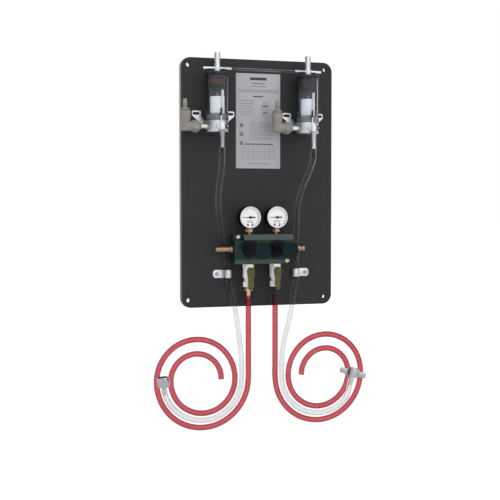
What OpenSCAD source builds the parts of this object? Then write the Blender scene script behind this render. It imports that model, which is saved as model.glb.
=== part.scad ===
// Wall panel that feeds two drink lines: a gas regulator block with two stations,
// two float chambers, shut-off valves and hoses, all on one upright board.
// Origin: centre of the board's back face, at the middle of its four bolt holes.
// +X right, +Z up, and the front of the panel faces -Y.

/* [Board] */
// Width of the board
board_w = 397; // [390:1:410]
// Height of the board
board_h = 610; // [600:1:630]
// Thickness of the board
board_t = 16; // [14:1:20]
// Radius of the board's corners
board_corner_r = 24; // [10:1:30]
// Distance between the bolt holes, left to right
hole_dx = 360; // [350:1:362]
// Distance between the bolt holes, top to bottom
hole_dz = 574; // [560:1:576]
// Diameter of the bolt holes
hole_d = 11; // [8:0.5:12]
// Width of the instruction sheet
sheet_w = 116.5; // [80:0.5:120]
// Height of the instruction sheet
sheet_h = 234; // [150:1:236]

/* [Float chambers] */
// Distance from the middle of the board to each chamber's axis
chamber_x = 118; // [116:1:120]
// Distance from the board's face to each chamber's axis
chamber_depth = 36; // [35:0.5:38]
// Outer diameter of the clear tube and of the base
chamber_d = 54; // [50:0.5:55]
// Wall of the clear tube
chamber_wall = 3; // [2:0.5:3.5]
// Height of the base's underside above the middle of the board
base_z = 122.5; // [120:0.5:126]
// Height of the base's outer body
base_h = 27.5; // [26:0.5:29]
// Height of the clear tube
chamber_h = 108; // [100:1:112]
// Diameter of the float
float_d = 35; // [30:0.5:38]
// Height of the float's body
float_h = 42; // [35:1:42]
// Distance from the chamber's axis to the inlet elbow's axis
elbow_reach = 81; // [79:1:84]

/* [Regulator] */
// Length of the regulator block
block_w = 154; // [150:1:158]
// Height of the regulator block
block_h = 73; // [70:1:76]
// Thickness of the regulator block
block_t = 32; // [30:1:34]
// Depth of the foot that carries the block off the board
foot_t = 15; // [12:1:18]
// Height of the block's middle above the middle of the board
block_z = -161.7; // [-164:0.1:-160]
// Distance from the middle of the block to each station
station_x = 35.2; // [34.5:0.1:36]
// Diameter of the bonnets at the block
bonnet_d = 45.5; // [42:0.5:47]
// Length of the bonnets
bonnet_l = 39; // [36:1:42]
// Length of the pressure knobs
knob_l = 47; // [42:1:50]
// Diameter of the gauges
gauge_d = 53; // [50:0.5:56]
// Height of the gauges' middles above the middle of the board
gauge_z = -83.8; // [-84.5:0.1:-82]

/* [Hoses] */
// Outer diameter of the gas hoses and of the drain hoses
hose_d = 14.3; // [12:0.1:14.5]
// Outer diameter of the hose that links the two chambers
link_d = 5.4; // [5:0.1:6]
// Radius of the outermost half turn of a hose spiral
coil_r = 117; // [112:1:120]
// How much each half turn is smaller than the one before
coil_step = 17.6; // [17:0.1:18]
// Height of the spirals' middles above the middle of the board
coil_z = -479; // [-485:1:-475]

/* [Hidden] */
$fn = 64;
LEFT = -1;
RIGHT = 1;
// Gap between pieces that only have to miss each other
gap = 0.3;
// Radial clearance of a shaft that turns in its bore
run = 0.05;
// How far a cutting tool passes the faces that it opens
cut = 1;

// Board
board_face_y = -board_t;
sheet_t = 0.8;
sheet_z = 154;

// Float chambers
chamber_y = board_face_y - chamber_depth;
chamber_r = chamber_d / 2;
chamber_in_r = chamber_r - chamber_wall;
base_top = base_z + base_h;
collar_h = 15;
collar_r = chamber_in_r - 0.2;
seat_z = base_top + collar_h;
tube_top = base_top + chamber_h;
port_z = base_z + 13.5;
bracket_t = 4;
ear_in = 30.7;
ear_out = 54.5;
slot_x = 43.2;
slot_z = 168.8;
slot_l = 17.2;
slot_w = 6.2;
cap_flange_r = 28.5;
cap_flange_h = 8;
cap_plug_h = 26;
cap_boss_h = 2.5;
seal_h = 5.4;
seal_z = tube_top - 16.5;
seal_root_r = chamber_in_r - 3.2;
outlet_z = tube_top + cap_flange_h + cap_boss_h;
outlet_h = 45.5;
outlet_bore_r = 4;
cross_z = 276;
cross_r = 3.55;
vent_r = 3.4;
shank_r = 4.6;
shank_reach = 9.5;
// How far the link hose goes into each cross tube
link_grip = 12;
cross_reach = 35.3;
// How far the cross tubes are turned, so that their inner ends point forward
cross_turn = 2;
float_z = seat_z + 1;
stem_r = 2.5;
stem_h = 8;
guide_r = 2.9;
guide_foot_r = 2;
guide_x = 20.75;
guide_top = 227;
// Where a float's guide post stands, as an angle round the chamber's axis
guide_turn = -71;
neck_r = 5.5;
collar_ring_r = 10.7;
collar_ring_y = chamber_y - chamber_r - 1.4;
hub_r = 9.5;
hub_t = 3.5;
hub_y = collar_ring_y - gap;
drain_y = chamber_y - 39;
drain_body_r = 6.5;
drain_top = port_z + 7;
drain_spigot_r = 6;
drain_end_z = 84;
drain_barb_l = 20;
lever_rod_r = 1.5;
lever_tip_r = 2.4;
lever_tip_z = 161.5;
lever_top = 179.5;
plug_x = 18;
plug_r = 6.2;
plug_face_y = chamber_y - 24.5;
stub_r = 5.1;
nut_from = 64;
nut_to = 42.5;
elbow_r = 11.75;
elbow_top = 172.4;

// Regulator
block_back_y = board_face_y - foot_t;
block_y = block_back_y - block_t;
block_top = block_z + block_h / 2;
block_low = block_z - block_h / 2;
bevel_top = 14;
bevel_low = 11;
bevel_d = 7;
pocket_x = 52.5;
pocket_h = bevel_top + 0.8;
pocket_floor_y = block_y + 13.5;
screw_x = 63.6;
screw_dz = 28.5;
screw_r = 3;
inlet_y = board_face_y - 29;
inlet_thread_r = 6;
thread_l = 10;
bonnet_r = bonnet_d / 2;
bonnet_y = block_y - bonnet_l;
bonnet_nose_r = bonnet_r - 1;
spring_room_r = 15;
spring_room_l = 28;
diaphragm_r = 20;
diaphragm_t = 1.6;
shaft_r = 4;
spring_turns = 4.5;
spring_wire_r = 1.3;
spring_coil_r = 10.5;
button_r = 12.5;
button_t = 2.5;
knob_y = bonnet_y - 0.5;
knob_back_r = 21.5;
knob_front_r = 20.5;
knob_ribs = 30;
gauge_r = gauge_d / 2;
gauge_stem_y = board_face_y - 34;
gauge_back_y = board_face_y - 17;
gauge_t = 28;
gauge_face_y = gauge_back_y - gauge_t;
dial_y = gauge_face_y + 5;
lens_r = gauge_r - 2.3;
lens_t = 1.6;
lens_y = gauge_face_y + 0.7 + lens_t;
needle_y = dial_y - 1.4;
needle_t = 0.8;
pivot_r = 1.2;
stem_hex_top = -112;
stem_hex_low = -120;

// Shut-off valves
valve_y = board_face_y - 27;
valve_r = 13.5;
ball_z = -216;
ball_r = 9;
ball_bore_r = 4.5;
valve_stem_r = 3.5;
tang_t = 2.9;
tang_l = 2.3;
valve_boss_r = 7;
valve_boss_y = valve_y - 16;
lever_y = valve_boss_y - gap;
lever_t = 5;
lever_hub_r = 10.3;
lever_w = 12;
lever_low = -262.5;
valve_waist_top = -232.7;
valve_waist_low = -242;
valve_low = -255;
barb_flange_top = -258.6;
barb_flange_low = -263.9;
barb_neck_r = 4.65;
hose_top = -277;
barb_low = -300;

// Hoses
hose_r = hose_d / 2;
coil_x = station_x + coil_r + coil_step / 2;
coil_turns = 2;
// Half turns of a gas hose spiral, outermost first
coil_halves = 2 * coil_turns;
// Radius of the half turn of drain hose that lies between the first two gas turns
nest_r = coil_r - coil_step;
nest_x = coil_x - coil_step / 2;
// Angle, from the inner side through the bottom, where a drain hose leaves that half turn
left_nest_end = 120;
right_nest_end = 105;
link_sag = 3.5;
link_bow = 26;
nut_r = 15;
nut_h = 24;
nut_lip = 3;
nut_thread_r = 11.2;
wing_reach = 34;
wing_t = 4;
wing_h = 14;
tail_r = 5;
tail_flange_r = 10.4;
clip_w = 20;
clip_t = 1.5;
clip_screw_dx = 28;
clip_ear_dx = 37.5;
clip_z = -223;

// Middles of the drain hoses where they hang free, from the drain spigot to the spiral
left_drain_route = [
    [-118, -91, 84], [-118, -91, 58], [-119, -89, 34], [-121, -84, 10], [-122, -75, -18],
    [-120, -65, -46], [-115, -54, -75], [-108, -43, -104], [-100.5, -34, -134],
    [-92.5, -27, -164], [-84, -24, -192], [-81, -23.5, -211], [-81, -23.5, -235],
    [-76.5, -24, -256], [-71, -26, -278], [-66.5, -28.5, -300], [-63.2, -33, -326],
    [-60.3, -38, -360], [-56.5, -42, -398], [-53.5, -43, -430], [-52.8, -43, -458]];
right_drain_route = [
    [118, -91, 84], [117, -91, 60], [111, -89, 38], [103.5, -84, 15], [95, -75, -10],
    [91, -65, -37], [90.5, -54, -64], [92.5, -43, -96], [96, -33, -132],
    [98.3, -26, -172], [97.6, -23.5, -209], [97.6, -23.5, -237], [94.8, -24, -258],
    [91, -26, -278], [87, -28.5, -301], [81, -31.5, -324], [74, -35, -348],
    [66, -39, -372], [58.5, -42, -397], [54, -43, -426], [52.8, -43, -456]];
// Middles of their last stretch, which comes forward over the gas hose to the wing nut
left_lift_route = [[-224, -47, -549], [-242, -55, -528.5], [-252, -61, -509.5]];
right_lift_route = [[200.5, -47, -565], [217.5, -54, -548.5], [225.5, -61, -530],
    [228.2, -65.6, -512]];
// Where each drain hose ends and its wing nut begins, and how far it leans there
left_drain_end = [-256.6, -64, -489.5];
right_drain_end = [233.5, -67, -490];
left_end_lean = -6;
right_end_lean = 15;
// How far the wings are turned out of the board's plane
left_wing_turn = 78;
right_wing_turn = -15;

// Points along the nested half turn of a drain hose
function nest_points(side, last) = [for (a = [0:15:last])
    [side * (nest_x - nest_r * cos(a)), valve_y, coil_z - nest_r * sin(a)]];
// Last point and the one before it, in line with the wing nut
function hose_end(end, lean) = [end - 9 * [sin(lean), 0, cos(lean)], end];

// Unit vector
function unit(v) = v / norm(v);
// Direction of a route at point i
function heading(route, i) =
    unit(route[min(i + 1, len(route) - 1)] - route[max(i - 1, 0)]);
// Ring of points round a route at point i
function ring(route, i, r, sides) =
    let (t = heading(route, i), u = unit(cross(t, [0.01, 1, 0.01])), v = cross(t, u))
    [for (k = [0:sides - 1]) route[i] + r * (cos(360 * k / sides) * u + sin(360 * k / sides) * v)];

// Plain tube of radius r swept along the points of a route
module swept_tube(route, r, sides = 12) {
    n = len(route);
    points = [for (i = [0:n - 1]) each ring(route, i, r, sides)];
    sides_faces = [for (i = [0:n - 2], k = [0:sides - 1])
        [i * sides + k, (i + 1) * sides + k,
         (i + 1) * sides + (k + 1) % sides, i * sides + (k + 1) % sides]];
    first_face = [for (k = [0:sides - 1]) k];
    last_face = [for (k = [sides - 1:-1:0]) (n - 1) * sides + k];
    polyhedron(points, concat([first_face], sides_faces, [last_face]));
}

// Cylinder along X, from x0 to x1
module bar_x(r, x0, x1, y = 0, z = 0, r2 = undef) {
    translate([x0, y, z]) rotate([0, 90, 0])
        cylinder(r1 = r, r2 = is_undef(r2) ? r : r2, h = x1 - x0);
}
// Cylinder along Y, from the back y0 to the front y1
module bar_y(r, y0, y1, x = 0, z = 0, r2 = undef) {
    translate([x, y0, z]) rotate([90, 0, 0])
        cylinder(r1 = r, r2 = is_undef(r2) ? r : r2, h = y0 - y1);
}
// Cylinder along Z, from z0 up to z1
module bar_z(r, z0, z1, x = 0, y = 0, r2 = undef) {
    translate([x, y, z0]) cylinder(r1 = r, r2 = is_undef(r2) ? r : r2, h = z1 - z0);
}
// Hexagon along Z with a flat to the front, af across the flats
module hex_z(af, z0, z1, x = 0, y = 0) {
    translate([x, y, z0]) cylinder(d = af / cos(30), h = z1 - z0, $fn = 6);
}
// Rectangle with round corners, in the XY plane
module rounded_rect(w, h, r) {
    square([w, h - 2 * r], center = true);
    square([w - 2 * r, h], center = true);
    for (sx = [-1, 1], sy = [-1, 1])
        translate([sx * (w / 2 - r), sy * (h / 2 - r)]) circle(r = r);
}
// Stands a drawing made in XY upright, so that its Y becomes Z, from y0 forward by t
module upright(y0, t) {
    translate([0, y0, 0]) rotate([90, 0, 0]) linear_extrude(t) children();
}
// Moves a detector from the middle of the board to its own side
module at_chamber(side) {
    translate([side * chamber_x, chamber_y, 0]) children();
}
// Barb rings that taper towards the free end, stacked along Z from z0
module barb_rings(r_root, r_crest, z0, count, pitch) {
    for (i = [0:count - 1])
        bar_z(r_crest, z0 + i * pitch, z0 + (i + 0.8) * pitch, r2 = r_root);
}

// Mounting board with its bolt holes and the pilot holes of its screws
module panel() {
    color([0.24, 0.24, 0.25]) difference() {
        upright(0, board_t) rounded_rect(board_w, board_h, board_corner_r);
        for (sx = [-1, 1], sz = [-1, 1])
            bar_y(hole_d / 2, cut, board_face_y - cut, sx * hole_dx / 2, sz * hole_dz / 2);
        for (s = [-1, 1])
            bar_y(screw_r, -4, board_face_y - cut, s * screw_x, block_z - s * screw_dz);
        for (s = [-1, 1])
            bar_y(2, -5, board_face_y - cut, clip_screw_x(s), clip_z);
    }
}
// Flat printed sheet bonded to the board between the chambers
module instruction_sheet() {
    color([0.7, 0.7, 0.71]) translate([-sheet_w / 2, board_face_y - sheet_t, sheet_z - sheet_h / 2])
        cube([sheet_w, sheet_t, sheet_h]);
}

// Screw with a domed washer head that points to the back, its head under y0
module screw(x, z, y0, head_r, head_h, shank_r, shank_l) {
    translate([x, y0, z]) rotate([90, 0, 0]) {
        translate([0, 0, -shank_l]) cylinder(r = shank_r, h = shank_l);
        difference() {
            rotate_extrude() intersection() {
                square([head_r, head_h]);
                translate([0, head_h - head_r * 1.6]) circle(r = head_r * 1.6);
            }
            translate([0, 0, head_h * 0.5]) linear_extrude(head_h) {
                square([head_r * 1.1, head_r * 0.22], center = true);
                square([head_r * 0.22, head_r * 1.1], center = true);
            }
        }
    }
}
// Two block screws and two clip screws
module panel_screws() {
    color([0.85, 0.85, 0.84]) {
        for (s = [-1, 1])
            screw(s * screw_x, block_z - s * screw_dz, pocket_floor_y, 6.4, 3.5, screw_r,
                  -pocket_floor_y - 4);
        for (s = [-1, 1])
            screw(clip_screw_x(s), clip_z, board_face_y - clip_t, 4.6, 2.4, 2, board_t + clip_t - 5);
    }
}

// Flat bracket with two slotted ears, on the board behind a chamber base
module detector_bracket(side) {
    half = [[-1, 150], [18, 150], [ear_in + 2, 164.5], [ear_in, 167], [ear_in, 173],
            [ear_in + 2.8, 175.8], [ear_out - 2.8, 175.8], [ear_out, 173], [ear_out, 163.5],
            [42.7, 153.6], [16, 128.3], [16, 124], [-1, 124]];
    color([0.86, 0.86, 0.87]) at_chamber(side) translate([0, -chamber_y, 0]) difference() {
        for (m = [0, 1]) mirror([m, 0, 0]) upright(board_face_y, bracket_t) polygon(half);
        for (s = [-1, 1]) {
            translate([s * slot_x - (slot_l - slot_w) / 2, board_face_y - bracket_t - cut,
                       slot_z - slot_w / 2])
                cube([slot_l - slot_w, bracket_t + 2 * cut, slot_w]);
            for (e = [-1, 1])
                bar_y(slot_w / 2, board_face_y + cut, board_face_y - bracket_t - cut,
                      s * slot_x + e * (slot_l - slot_w) / 2, slot_z);
        }
    }
}
// Base with its seat collar, inlet stub, rear foot and front ports
module detector_base(side) {
    color([0.8, 0.8, 0.82]) at_chamber(side) difference() {
        union() {
            bar_z(chamber_r - 1.2, base_z, base_z + 1.2, r2 = chamber_r);
            bar_z(chamber_r, base_z + 1.2, base_top);
            bar_z(collar_r, base_top, seat_z);
            bar_x(stub_r, -nut_to - 8, -chamber_r + 4, 0, port_z);
            bar_y(10, chamber_depth - bracket_t, 0, 0, port_z);
            bar_y(collar_ring_r, 0, collar_ring_y - chamber_y, 0, port_z);
            bar_y(plug_r, 0, plug_face_y - chamber_y, plug_x, port_z);
        }
        bar_z(7, base_z + 9, seat_z - 4);
        bar_z(7, seat_z - 4, seat_z + 0.01, r2 = 11);
        bar_x(2.5, -nut_to - 8 - cut, 0, 0, port_z);
        bar_y(neck_r, -chamber_r + 8, collar_ring_y - chamber_y - cut, 0, port_z);
        bar_y(2.5, 0, -chamber_r + 8 - cut, 0, port_z);
        bar_y(3.5, -10, plug_face_y - chamber_y - cut, plug_x, port_z);
        rotate(guide_turn) bar_z(guide_foot_r + run, seat_z - 6, seat_z + cut, guide_x);
    }
}
// White posts that stand in the bases' collars and keep the floats upright
module float_guides() {
    color([0.93, 0.94, 0.95]) for (side = [LEFT, RIGHT]) at_chamber(side) rotate(guide_turn) {
        bar_z(guide_r, seat_z, guide_top - 1, guide_x);
        bar_z(guide_r, guide_top - 1, guide_top, guide_x, r2 = guide_r - 1);
        bar_z(guide_foot_r, seat_z - 6 + run, seat_z, guide_x);
    }
}
// Clear tube of a chamber
module detector_chamber(side) {
    color([0.75, 0.85, 0.88, 0.4]) at_chamber(side) difference() {
        bar_z(chamber_r, base_top, tube_top);
        bar_z(chamber_in_r, base_top - cut, tube_top + cut);
    }
}
// Cap: flange over the tube, grooved plug inside it and a boss for the outlet
module detector_cap(side) {
    color([0.2, 0.2, 0.21]) at_chamber(side) difference() {
        union() {
            bar_z(collar_r, tube_top - cap_plug_h, tube_top);
            bar_z(cap_flange_r, tube_top, tube_top + cap_flange_h - 1.5);
            bar_z(cap_flange_r, tube_top + cap_flange_h - 1.5, tube_top + cap_flange_h,
                  r2 = cap_flange_r - 1.5);
            bar_z(12, tube_top + cap_flange_h, outlet_z);
        }
        difference() {
            bar_z(chamber_r, seal_z, seal_z + seal_h + 0.2);
            bar_z(seal_root_r, seal_z - cut, seal_z + seal_h + cut);
        }
        bar_z(outlet_bore_r, tube_top - cap_plug_h - cut, outlet_z + cut);
        bar_z(6, outlet_z - 7, outlet_z + cut);
    }
}
// Sealing rings in the grooves of both caps
module cap_seals() {
    color([0.75, 0.12, 0.14]) for (side = [LEFT, RIGHT]) at_chamber(side) rotate_extrude()
        translate([seal_root_r + run, seal_z + 0.1]) difference() {
            square([chamber_in_r - seal_root_r - 2 * run, seal_h]);
            translate([chamber_in_r - seal_root_r - 2 * run, seal_h / 2 + 0.9]) circle(r = 0.7);
            translate([chamber_in_r - seal_root_r - 2 * run, seal_h / 2 - 0.9]) circle(r = 0.7);
        }
}
// Float with a round bottom edge, a guide stem and a seat cone
module float_body(side) {
    edge = 5;
    color([0.93, 0.93, 0.93]) at_chamber(side) {
        rotate_extrude() {
            translate([0, float_z + edge]) square([float_d / 2, float_h - edge]);
            translate([0, float_z]) square([float_d / 2 - edge, edge]);
            intersection() {
                translate([float_d / 2 - edge, float_z + edge]) circle(r = edge);
                translate([0, float_z]) square([float_d / 2, edge]);
            }
        }
        bar_z(stem_r, float_z + float_h, float_z + float_h + stem_h);
        bar_z(5, float_z - 4, float_z, r2 = 8);
    }
}
// Outlet spigot with a thin cross tube through its foot, its outer arm the thinner one
module outlet_cross(side) {
    color([0.9, 0.9, 0.9]) at_chamber(side) rotate(side * cross_turn) difference() {
        union() {
            bar_z(5.9, outlet_z - 6.5, outlet_z);
            bar_z(7.6, outlet_z, outlet_z + 15);
            bar_z(7.1, outlet_z + 15, outlet_z + outlet_h);
            for (i = [0:3])
                bar_z(7.7, outlet_z + 16 + i * 5, outlet_z + 20 + i * 5, r2 = 7.1);
            bar_x(shank_r, -shank_reach, shank_reach, 0, cross_z);
            mirror([side > 0 ? 1 : 0, 0, 0]) {
                bar_x(cross_r, 0, cross_reach, 0, cross_z);
                bar_x(vent_r, -cross_reach, 0, 0, cross_z);
            }
        }
        bar_z(outlet_bore_r, outlet_z - 7.5, outlet_z + outlet_h + cut);
        bar_x(1.8, -cross_reach - cut, cross_reach + cut, 0, cross_z);
        mirror([side > 0 ? 1 : 0, 0, 0])
            bar_x(link_d / 2, cross_reach - link_grip, cross_reach + cut, 0, cross_z);
    }
}
// Bleed valve: a neck out of the base, an upright body and a spigot for the drain hose
module drain_valve(side) {
    color([0.88, 0.88, 0.88]) at_chamber(side) {
        y = drain_y - chamber_y;
        difference() {
            union() {
                bar_y(neck_r - run, -chamber_r + 8, y, 0, port_z);
                bar_z(drain_body_r, port_z - 8, drain_top - 1, 0, y);
                bar_z(drain_body_r, drain_top - 1, drain_top, 0, y, r2 = drain_body_r - 1);
                bar_z(drain_spigot_r, drain_end_z + 3, port_z - 8, 0, y);
                bar_z(drain_spigot_r + 0.8, drain_end_z, drain_end_z + 3, 0, y);
                bar_z(4.7, drain_end_z - drain_barb_l, drain_end_z, 0, y);
            }
            bar_z(2.5, drain_end_z - drain_barb_l - cut, port_z, 0, y);
            bar_y(2.5, -chamber_r + 7, y, 0, port_z);
        }
    }
}
// Bleed lever: a ring that turns on the valve's neck, a thin rod and a soft tip
module drain_lever(side) {
    color([0.75, 0.12, 0.14]) at_chamber(side) {
        y = hub_y - chamber_y - hub_t / 2;
        difference() {
            union() {
                bar_y(hub_r, hub_y - chamber_y, hub_y - chamber_y - hub_t, 0, port_z);
                bar_z(lever_rod_r, port_z + neck_r + 1, lever_tip_z + 2, 0, y);
            }
            bar_y(neck_r, hub_y - chamber_y + cut, hub_y - chamber_y - hub_t - cut, 0, port_z);
        }
        translate([0, y, 0]) rotate_extrude() intersection() {
            union() {
                translate([0, lever_tip_z]) square([lever_tip_r, lever_top - lever_tip_z - lever_tip_r]);
                translate([0, lever_top - lever_tip_r]) circle(r = lever_tip_r);
            }
            translate([0, lever_tip_z]) square([lever_tip_r, lever_top - lever_tip_z]);
        }
    }
}
// Plugs that close the spare port of each base
module side_plugs() {
    color([0.1, 0.1, 0.1]) for (side = [LEFT, RIGHT]) at_chamber(side) {
        face = plug_face_y - chamber_y;
        difference() {
            union() {
                bar_y(3.5, -11, face, plug_x, port_z);
                bar_y(plug_r, face, face - 4, plug_x, port_z);
            }
            translate([plug_x, face - 2, port_z]) rotate([90, 0, 0]) cylinder(d = 6, h = 3, $fn = 6);
        }
    }
}
// Union nut between the base's stub and the elbow
module inlet_nut(side) {
    color([0.6, 0.58, 0.52]) at_chamber(side) difference() {
        union() {
            translate([-nut_from, 0, port_z]) rotate([0, 90, 0])
                cylinder(d = 26 / cos(30), h = 15, $fn = 6);
            bar_x(13, -nut_from + 15, -nut_to, 0, port_z, r2 = 8.5);
        }
        bar_x(stub_r + run, -nut_to - 9, -nut_to + cut, 0, port_z);
        bar_x(3, -nut_from - cut, -nut_to - 9 + cut, 0, port_z);
    }
}
// Elbow from the union nut up to the barb of the drink inlet
module inlet_elbow(side) {
    color([0.6, 0.58, 0.52]) at_chamber(side) difference() {
        union() {
            bar_x(12.2, -elbow_reach, -nut_from, 0, port_z);
            translate([-elbow_reach, 0, 0]) {
                bar_z(elbow_r - 2.5, port_z - 11.5, port_z - 9, r2 = elbow_r);
                bar_z(elbow_r, port_z - 9, 150);
                bar_z(elbow_r + 1.5, 150, elbow_top, r2 = elbow_r + 2.3);
                bar_z(9.3, elbow_top, elbow_top + 2.1);
                bar_z(11.6, elbow_top + 2.1, elbow_top + 6.3);
                bar_z(4.9, elbow_top + 6.3, 201);
                barb_rings(4.9, 5.9, elbow_top + 6.3, 3, 5);
            }
        }
        bar_x(3, -elbow_reach, -nut_from + cut, 0, port_z);
        bar_z(3, port_z, 201 + cut, -elbow_reach);
    }
}

// Outline of the block's section: depth ahead of the board in X, height in Y
module block_section() {
    front = foot_t + block_t;
    polygon([[foot_t, block_low], [front - bevel_d + 2, block_low],
             [front, block_low + bevel_low], [front, block_top - bevel_top],
             [front - bevel_d, block_top], [foot_t, block_top]]);
}
// Regulator block on its foot, with screw pockets, ports and bonnet seats
module regulator_block() {
    color([0.11, 0.26, 0.22]) difference() {
        union() {
            translate([-block_w / 2, board_face_y, 0]) rotate([90, 0, 90])
                mirror([1, 0, 0]) linear_extrude(block_w) block_section();
            translate([-69, block_back_y, block_low + 3]) cube([138, foot_t, block_h - 6]);
        }
        for (s = [-1, 1]) {
            translate([s > 0 ? pocket_x : -block_w / 2 - cut, block_y - cut,
                       s > 0 ? block_low - cut : block_top - pocket_h])
                cube([block_w / 2 - pocket_x + cut, pocket_floor_y - block_y + cut, pocket_h + cut]);
            bar_y(screw_r + 0.1, cut + board_face_y, block_y - cut, s * screw_x,
                  block_z - s * screw_dz);
            bar_y(spring_room_r - 4, block_y + 12, block_y - cut, s * station_x, block_z);
            bar_z(5, block_top - thread_l, block_top + cut, s * station_x, gauge_stem_y);
            bar_z(6, block_low - cut, block_low + thread_l, s * station_x, valve_y);
        }
        bar_x(inlet_thread_r, -block_w / 2 - cut, -block_w / 2 + thread_l, inlet_y, block_z);
        bar_x(inlet_thread_r, block_w / 2 - thread_l, block_w / 2 + cut, inlet_y, block_z);
    }
}
// Brass barb where the gas comes in
module gas_inlet_barb() {
    x = -block_w / 2;
    tip = -120.5;
    color([0.8, 0.6, 0.45]) translate([0, inlet_y, block_z]) difference() {
        union() {
            bar_x(inlet_thread_r, x - 1.5, x + thread_l - 1);
            bar_x(9.5, x - 6, x - 1.5);
            bar_x(5.8, tip, x - 6);
            for (i = [0:3])
                bar_x(5.8, tip + 8.5 + i * 6.5, tip + 13.5 + i * 6.5, r2 = 6.6);
        }
        bar_x(3.5, tip - cut, x + thread_l);
    }
}
// Brass plug that closes the other end of the block's gallery
module manifold_plug() {
    x = block_w / 2;
    color([0.8, 0.6, 0.45]) translate([0, inlet_y, block_z]) {
        bar_x(inlet_thread_r, x - thread_l + 1, x + 1);
        translate([x, 0, 0]) rotate([0, 90, 0]) cylinder(d = 17 / cos(30), h = 9, $fn = 6);
        bar_x(4.5, x + 9, x + 34);
        bar_x(7, x + 16.2, x + 24.6);
        bar_x(7, x + 26.8, x + 34.5);
    }
}

// Turns a bonnet or knob made along +Z so that it points out of the block at a station
module at_station(side, y) {
    translate([side * station_x, y, block_z]) rotate([90, 0, 0]) children();
}
// Bonnet: the fixed black housing of the adjusting spring
module bonnet(side) {
    color([0.12, 0.12, 0.13]) at_station(side, block_y) difference() {
        union() {
            cylinder(r = bonnet_r, h = 8);
            translate([0, 0, 8]) cylinder(r = bonnet_r - 0.8, h = 2);
            translate([0, 0, 10]) cylinder(r1 = bonnet_r, r2 = bonnet_nose_r, h = bonnet_l - 11);
            translate([0, 0, bonnet_l - 1]) cylinder(r1 = bonnet_nose_r, r2 = bonnet_nose_r - 1, h = 1);
        }
        translate([0, 0, -cut]) cylinder(r = diaphragm_r, h = diaphragm_t + cut);
        cylinder(r = spring_room_r, h = spring_room_l);
        cylinder(r = shaft_r + run, h = bonnet_l + cut);
    }
}
// Rubber diaphragms clamped under both bonnets
module diaphragms() {
    color([0.15, 0.15, 0.15]) for (side = [LEFT, RIGHT]) at_station(side, block_y)
        rotate_extrude() difference() {
            square([diaphragm_r - run, diaphragm_t - run]);
            translate([11.5, diaphragm_t + 0.6]) circle(r = 1.4);
        }
}
// Adjusting spring of round wire, between the diaphragm and the button of the knob's shaft
module spring(side) {
    from = block_y - diaphragm_t - spring_wire_r - 0.2;
    pitch = (spring_room_l - diaphragm_t - 2 * spring_wire_r - button_t - 1.2) / spring_turns;
    color([0.6, 0.6, 0.62]) translate([side * station_x, from, block_z])
        swept_tube([for (a = [0:30:360 * spring_turns])
            [spring_coil_r * cos(a), -pitch * a / 360, spring_coil_r * sin(a)]], spring_wire_r, 8);
}
// Pressure knob: a ribbed grip on a shaft that turns in the bonnet and ends in a button
module pressure_knob(side) {
    color([0.06, 0.11, 0.1]) at_station(side, knob_y) {
        difference() {
            union() {
                cylinder(r = knob_back_r - 0.8, h = 2.5);
                translate([0, 0, 2.5])
                    cylinder(r1 = knob_back_r, r2 = knob_front_r, h = knob_l - 3.7);
                translate([0, 0, knob_l - 1.2])
                    cylinder(r1 = knob_front_r, r2 = knob_front_r - 1.2, h = 1.2);
            }
            for (i = [0:knob_ribs - 1]) rotate(i * 360 / knob_ribs)
                translate([knob_back_r + 0.5, 0, 6]) cylinder(r = 1.1, h = knob_l - 12, $fn = 16);
            translate([0, 0, knob_l - 0.8]) cylinder(r = knob_front_r - 3.5, h = cut + 1);
        }
        translate([0, 0, -12]) cylinder(r = shaft_r, h = 13);
        translate([0, 0, -12 - button_t]) cylinder(r = button_r, h = button_t);
        translate([0, 0, knob_l - 1]) linear_extrude(0.8) translate([0, 12]) square([1.6, 6], center = true);
    }
}

// Gauge case: a black cup with a white dial face at its bottom
module gauge_case(side) {
    color([0.12, 0.12, 0.12]) translate([side * station_x, 0, gauge_z]) difference() {
        union() {
            bar_y(gauge_r - 2, gauge_back_y, gauge_back_y - 2, r2 = gauge_r);
            bar_y(gauge_r, gauge_back_y - 2, gauge_face_y + 1);
            bar_y(gauge_r, gauge_face_y + 1, gauge_face_y, r2 = gauge_r - 1);
        }
        bar_y(gauge_r - 4, dial_y, gauge_face_y - cut);
        bar_y(lens_r + 0.02, lens_y, gauge_face_y - cut);
        bar_y(pivot_r + run, dial_y + 3, dial_y - cut);
        translate([0, 0, -gauge_z]) bar_z(5.5, stem_hex_top - cut, gauge_z - 18, 0, gauge_stem_y);
    }
}
// Clear window of a gauge
module gauge_lens(side) {
    color([0.85, 0.9, 0.92, 0.35]) translate([side * station_x, 0, gauge_z])
        bar_y(lens_r, lens_y, lens_y - lens_t);
}
// Pointer: a long thin end to the left, a broad tail to the right and a hub
module gauge_needle(side) {
    color([0.08, 0.08, 0.08]) translate([side * station_x, 0, gauge_z]) {
        upright(needle_y, needle_t) {
            polygon([[-19.5, -0.25], [-19.5, 0.25], [0, 0.9], [0, -0.9]]);
            translate([6.5, 0]) square([12, 2.4], center = true);
            circle(r = 2.8);
        }
        bar_y(pivot_r, dial_y + 2.5, needle_y);
    }
}
// Brass stem of a gauge: wrench hexagon, neck and thread into the block
module gauge_stem(side) {
    color([0.8, 0.6, 0.45]) {
        x = side * station_x;
        hex_z(18, stem_hex_low, stem_hex_top, x, gauge_stem_y);
        bar_z(5.5, stem_hex_top, gauge_z - 19, x, gauge_stem_y);
        bar_z(3.4, block_top, stem_hex_low, x, gauge_stem_y);
        bar_z(5, block_top - thread_l + 1, block_top, x, gauge_stem_y);
    }
}

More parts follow.
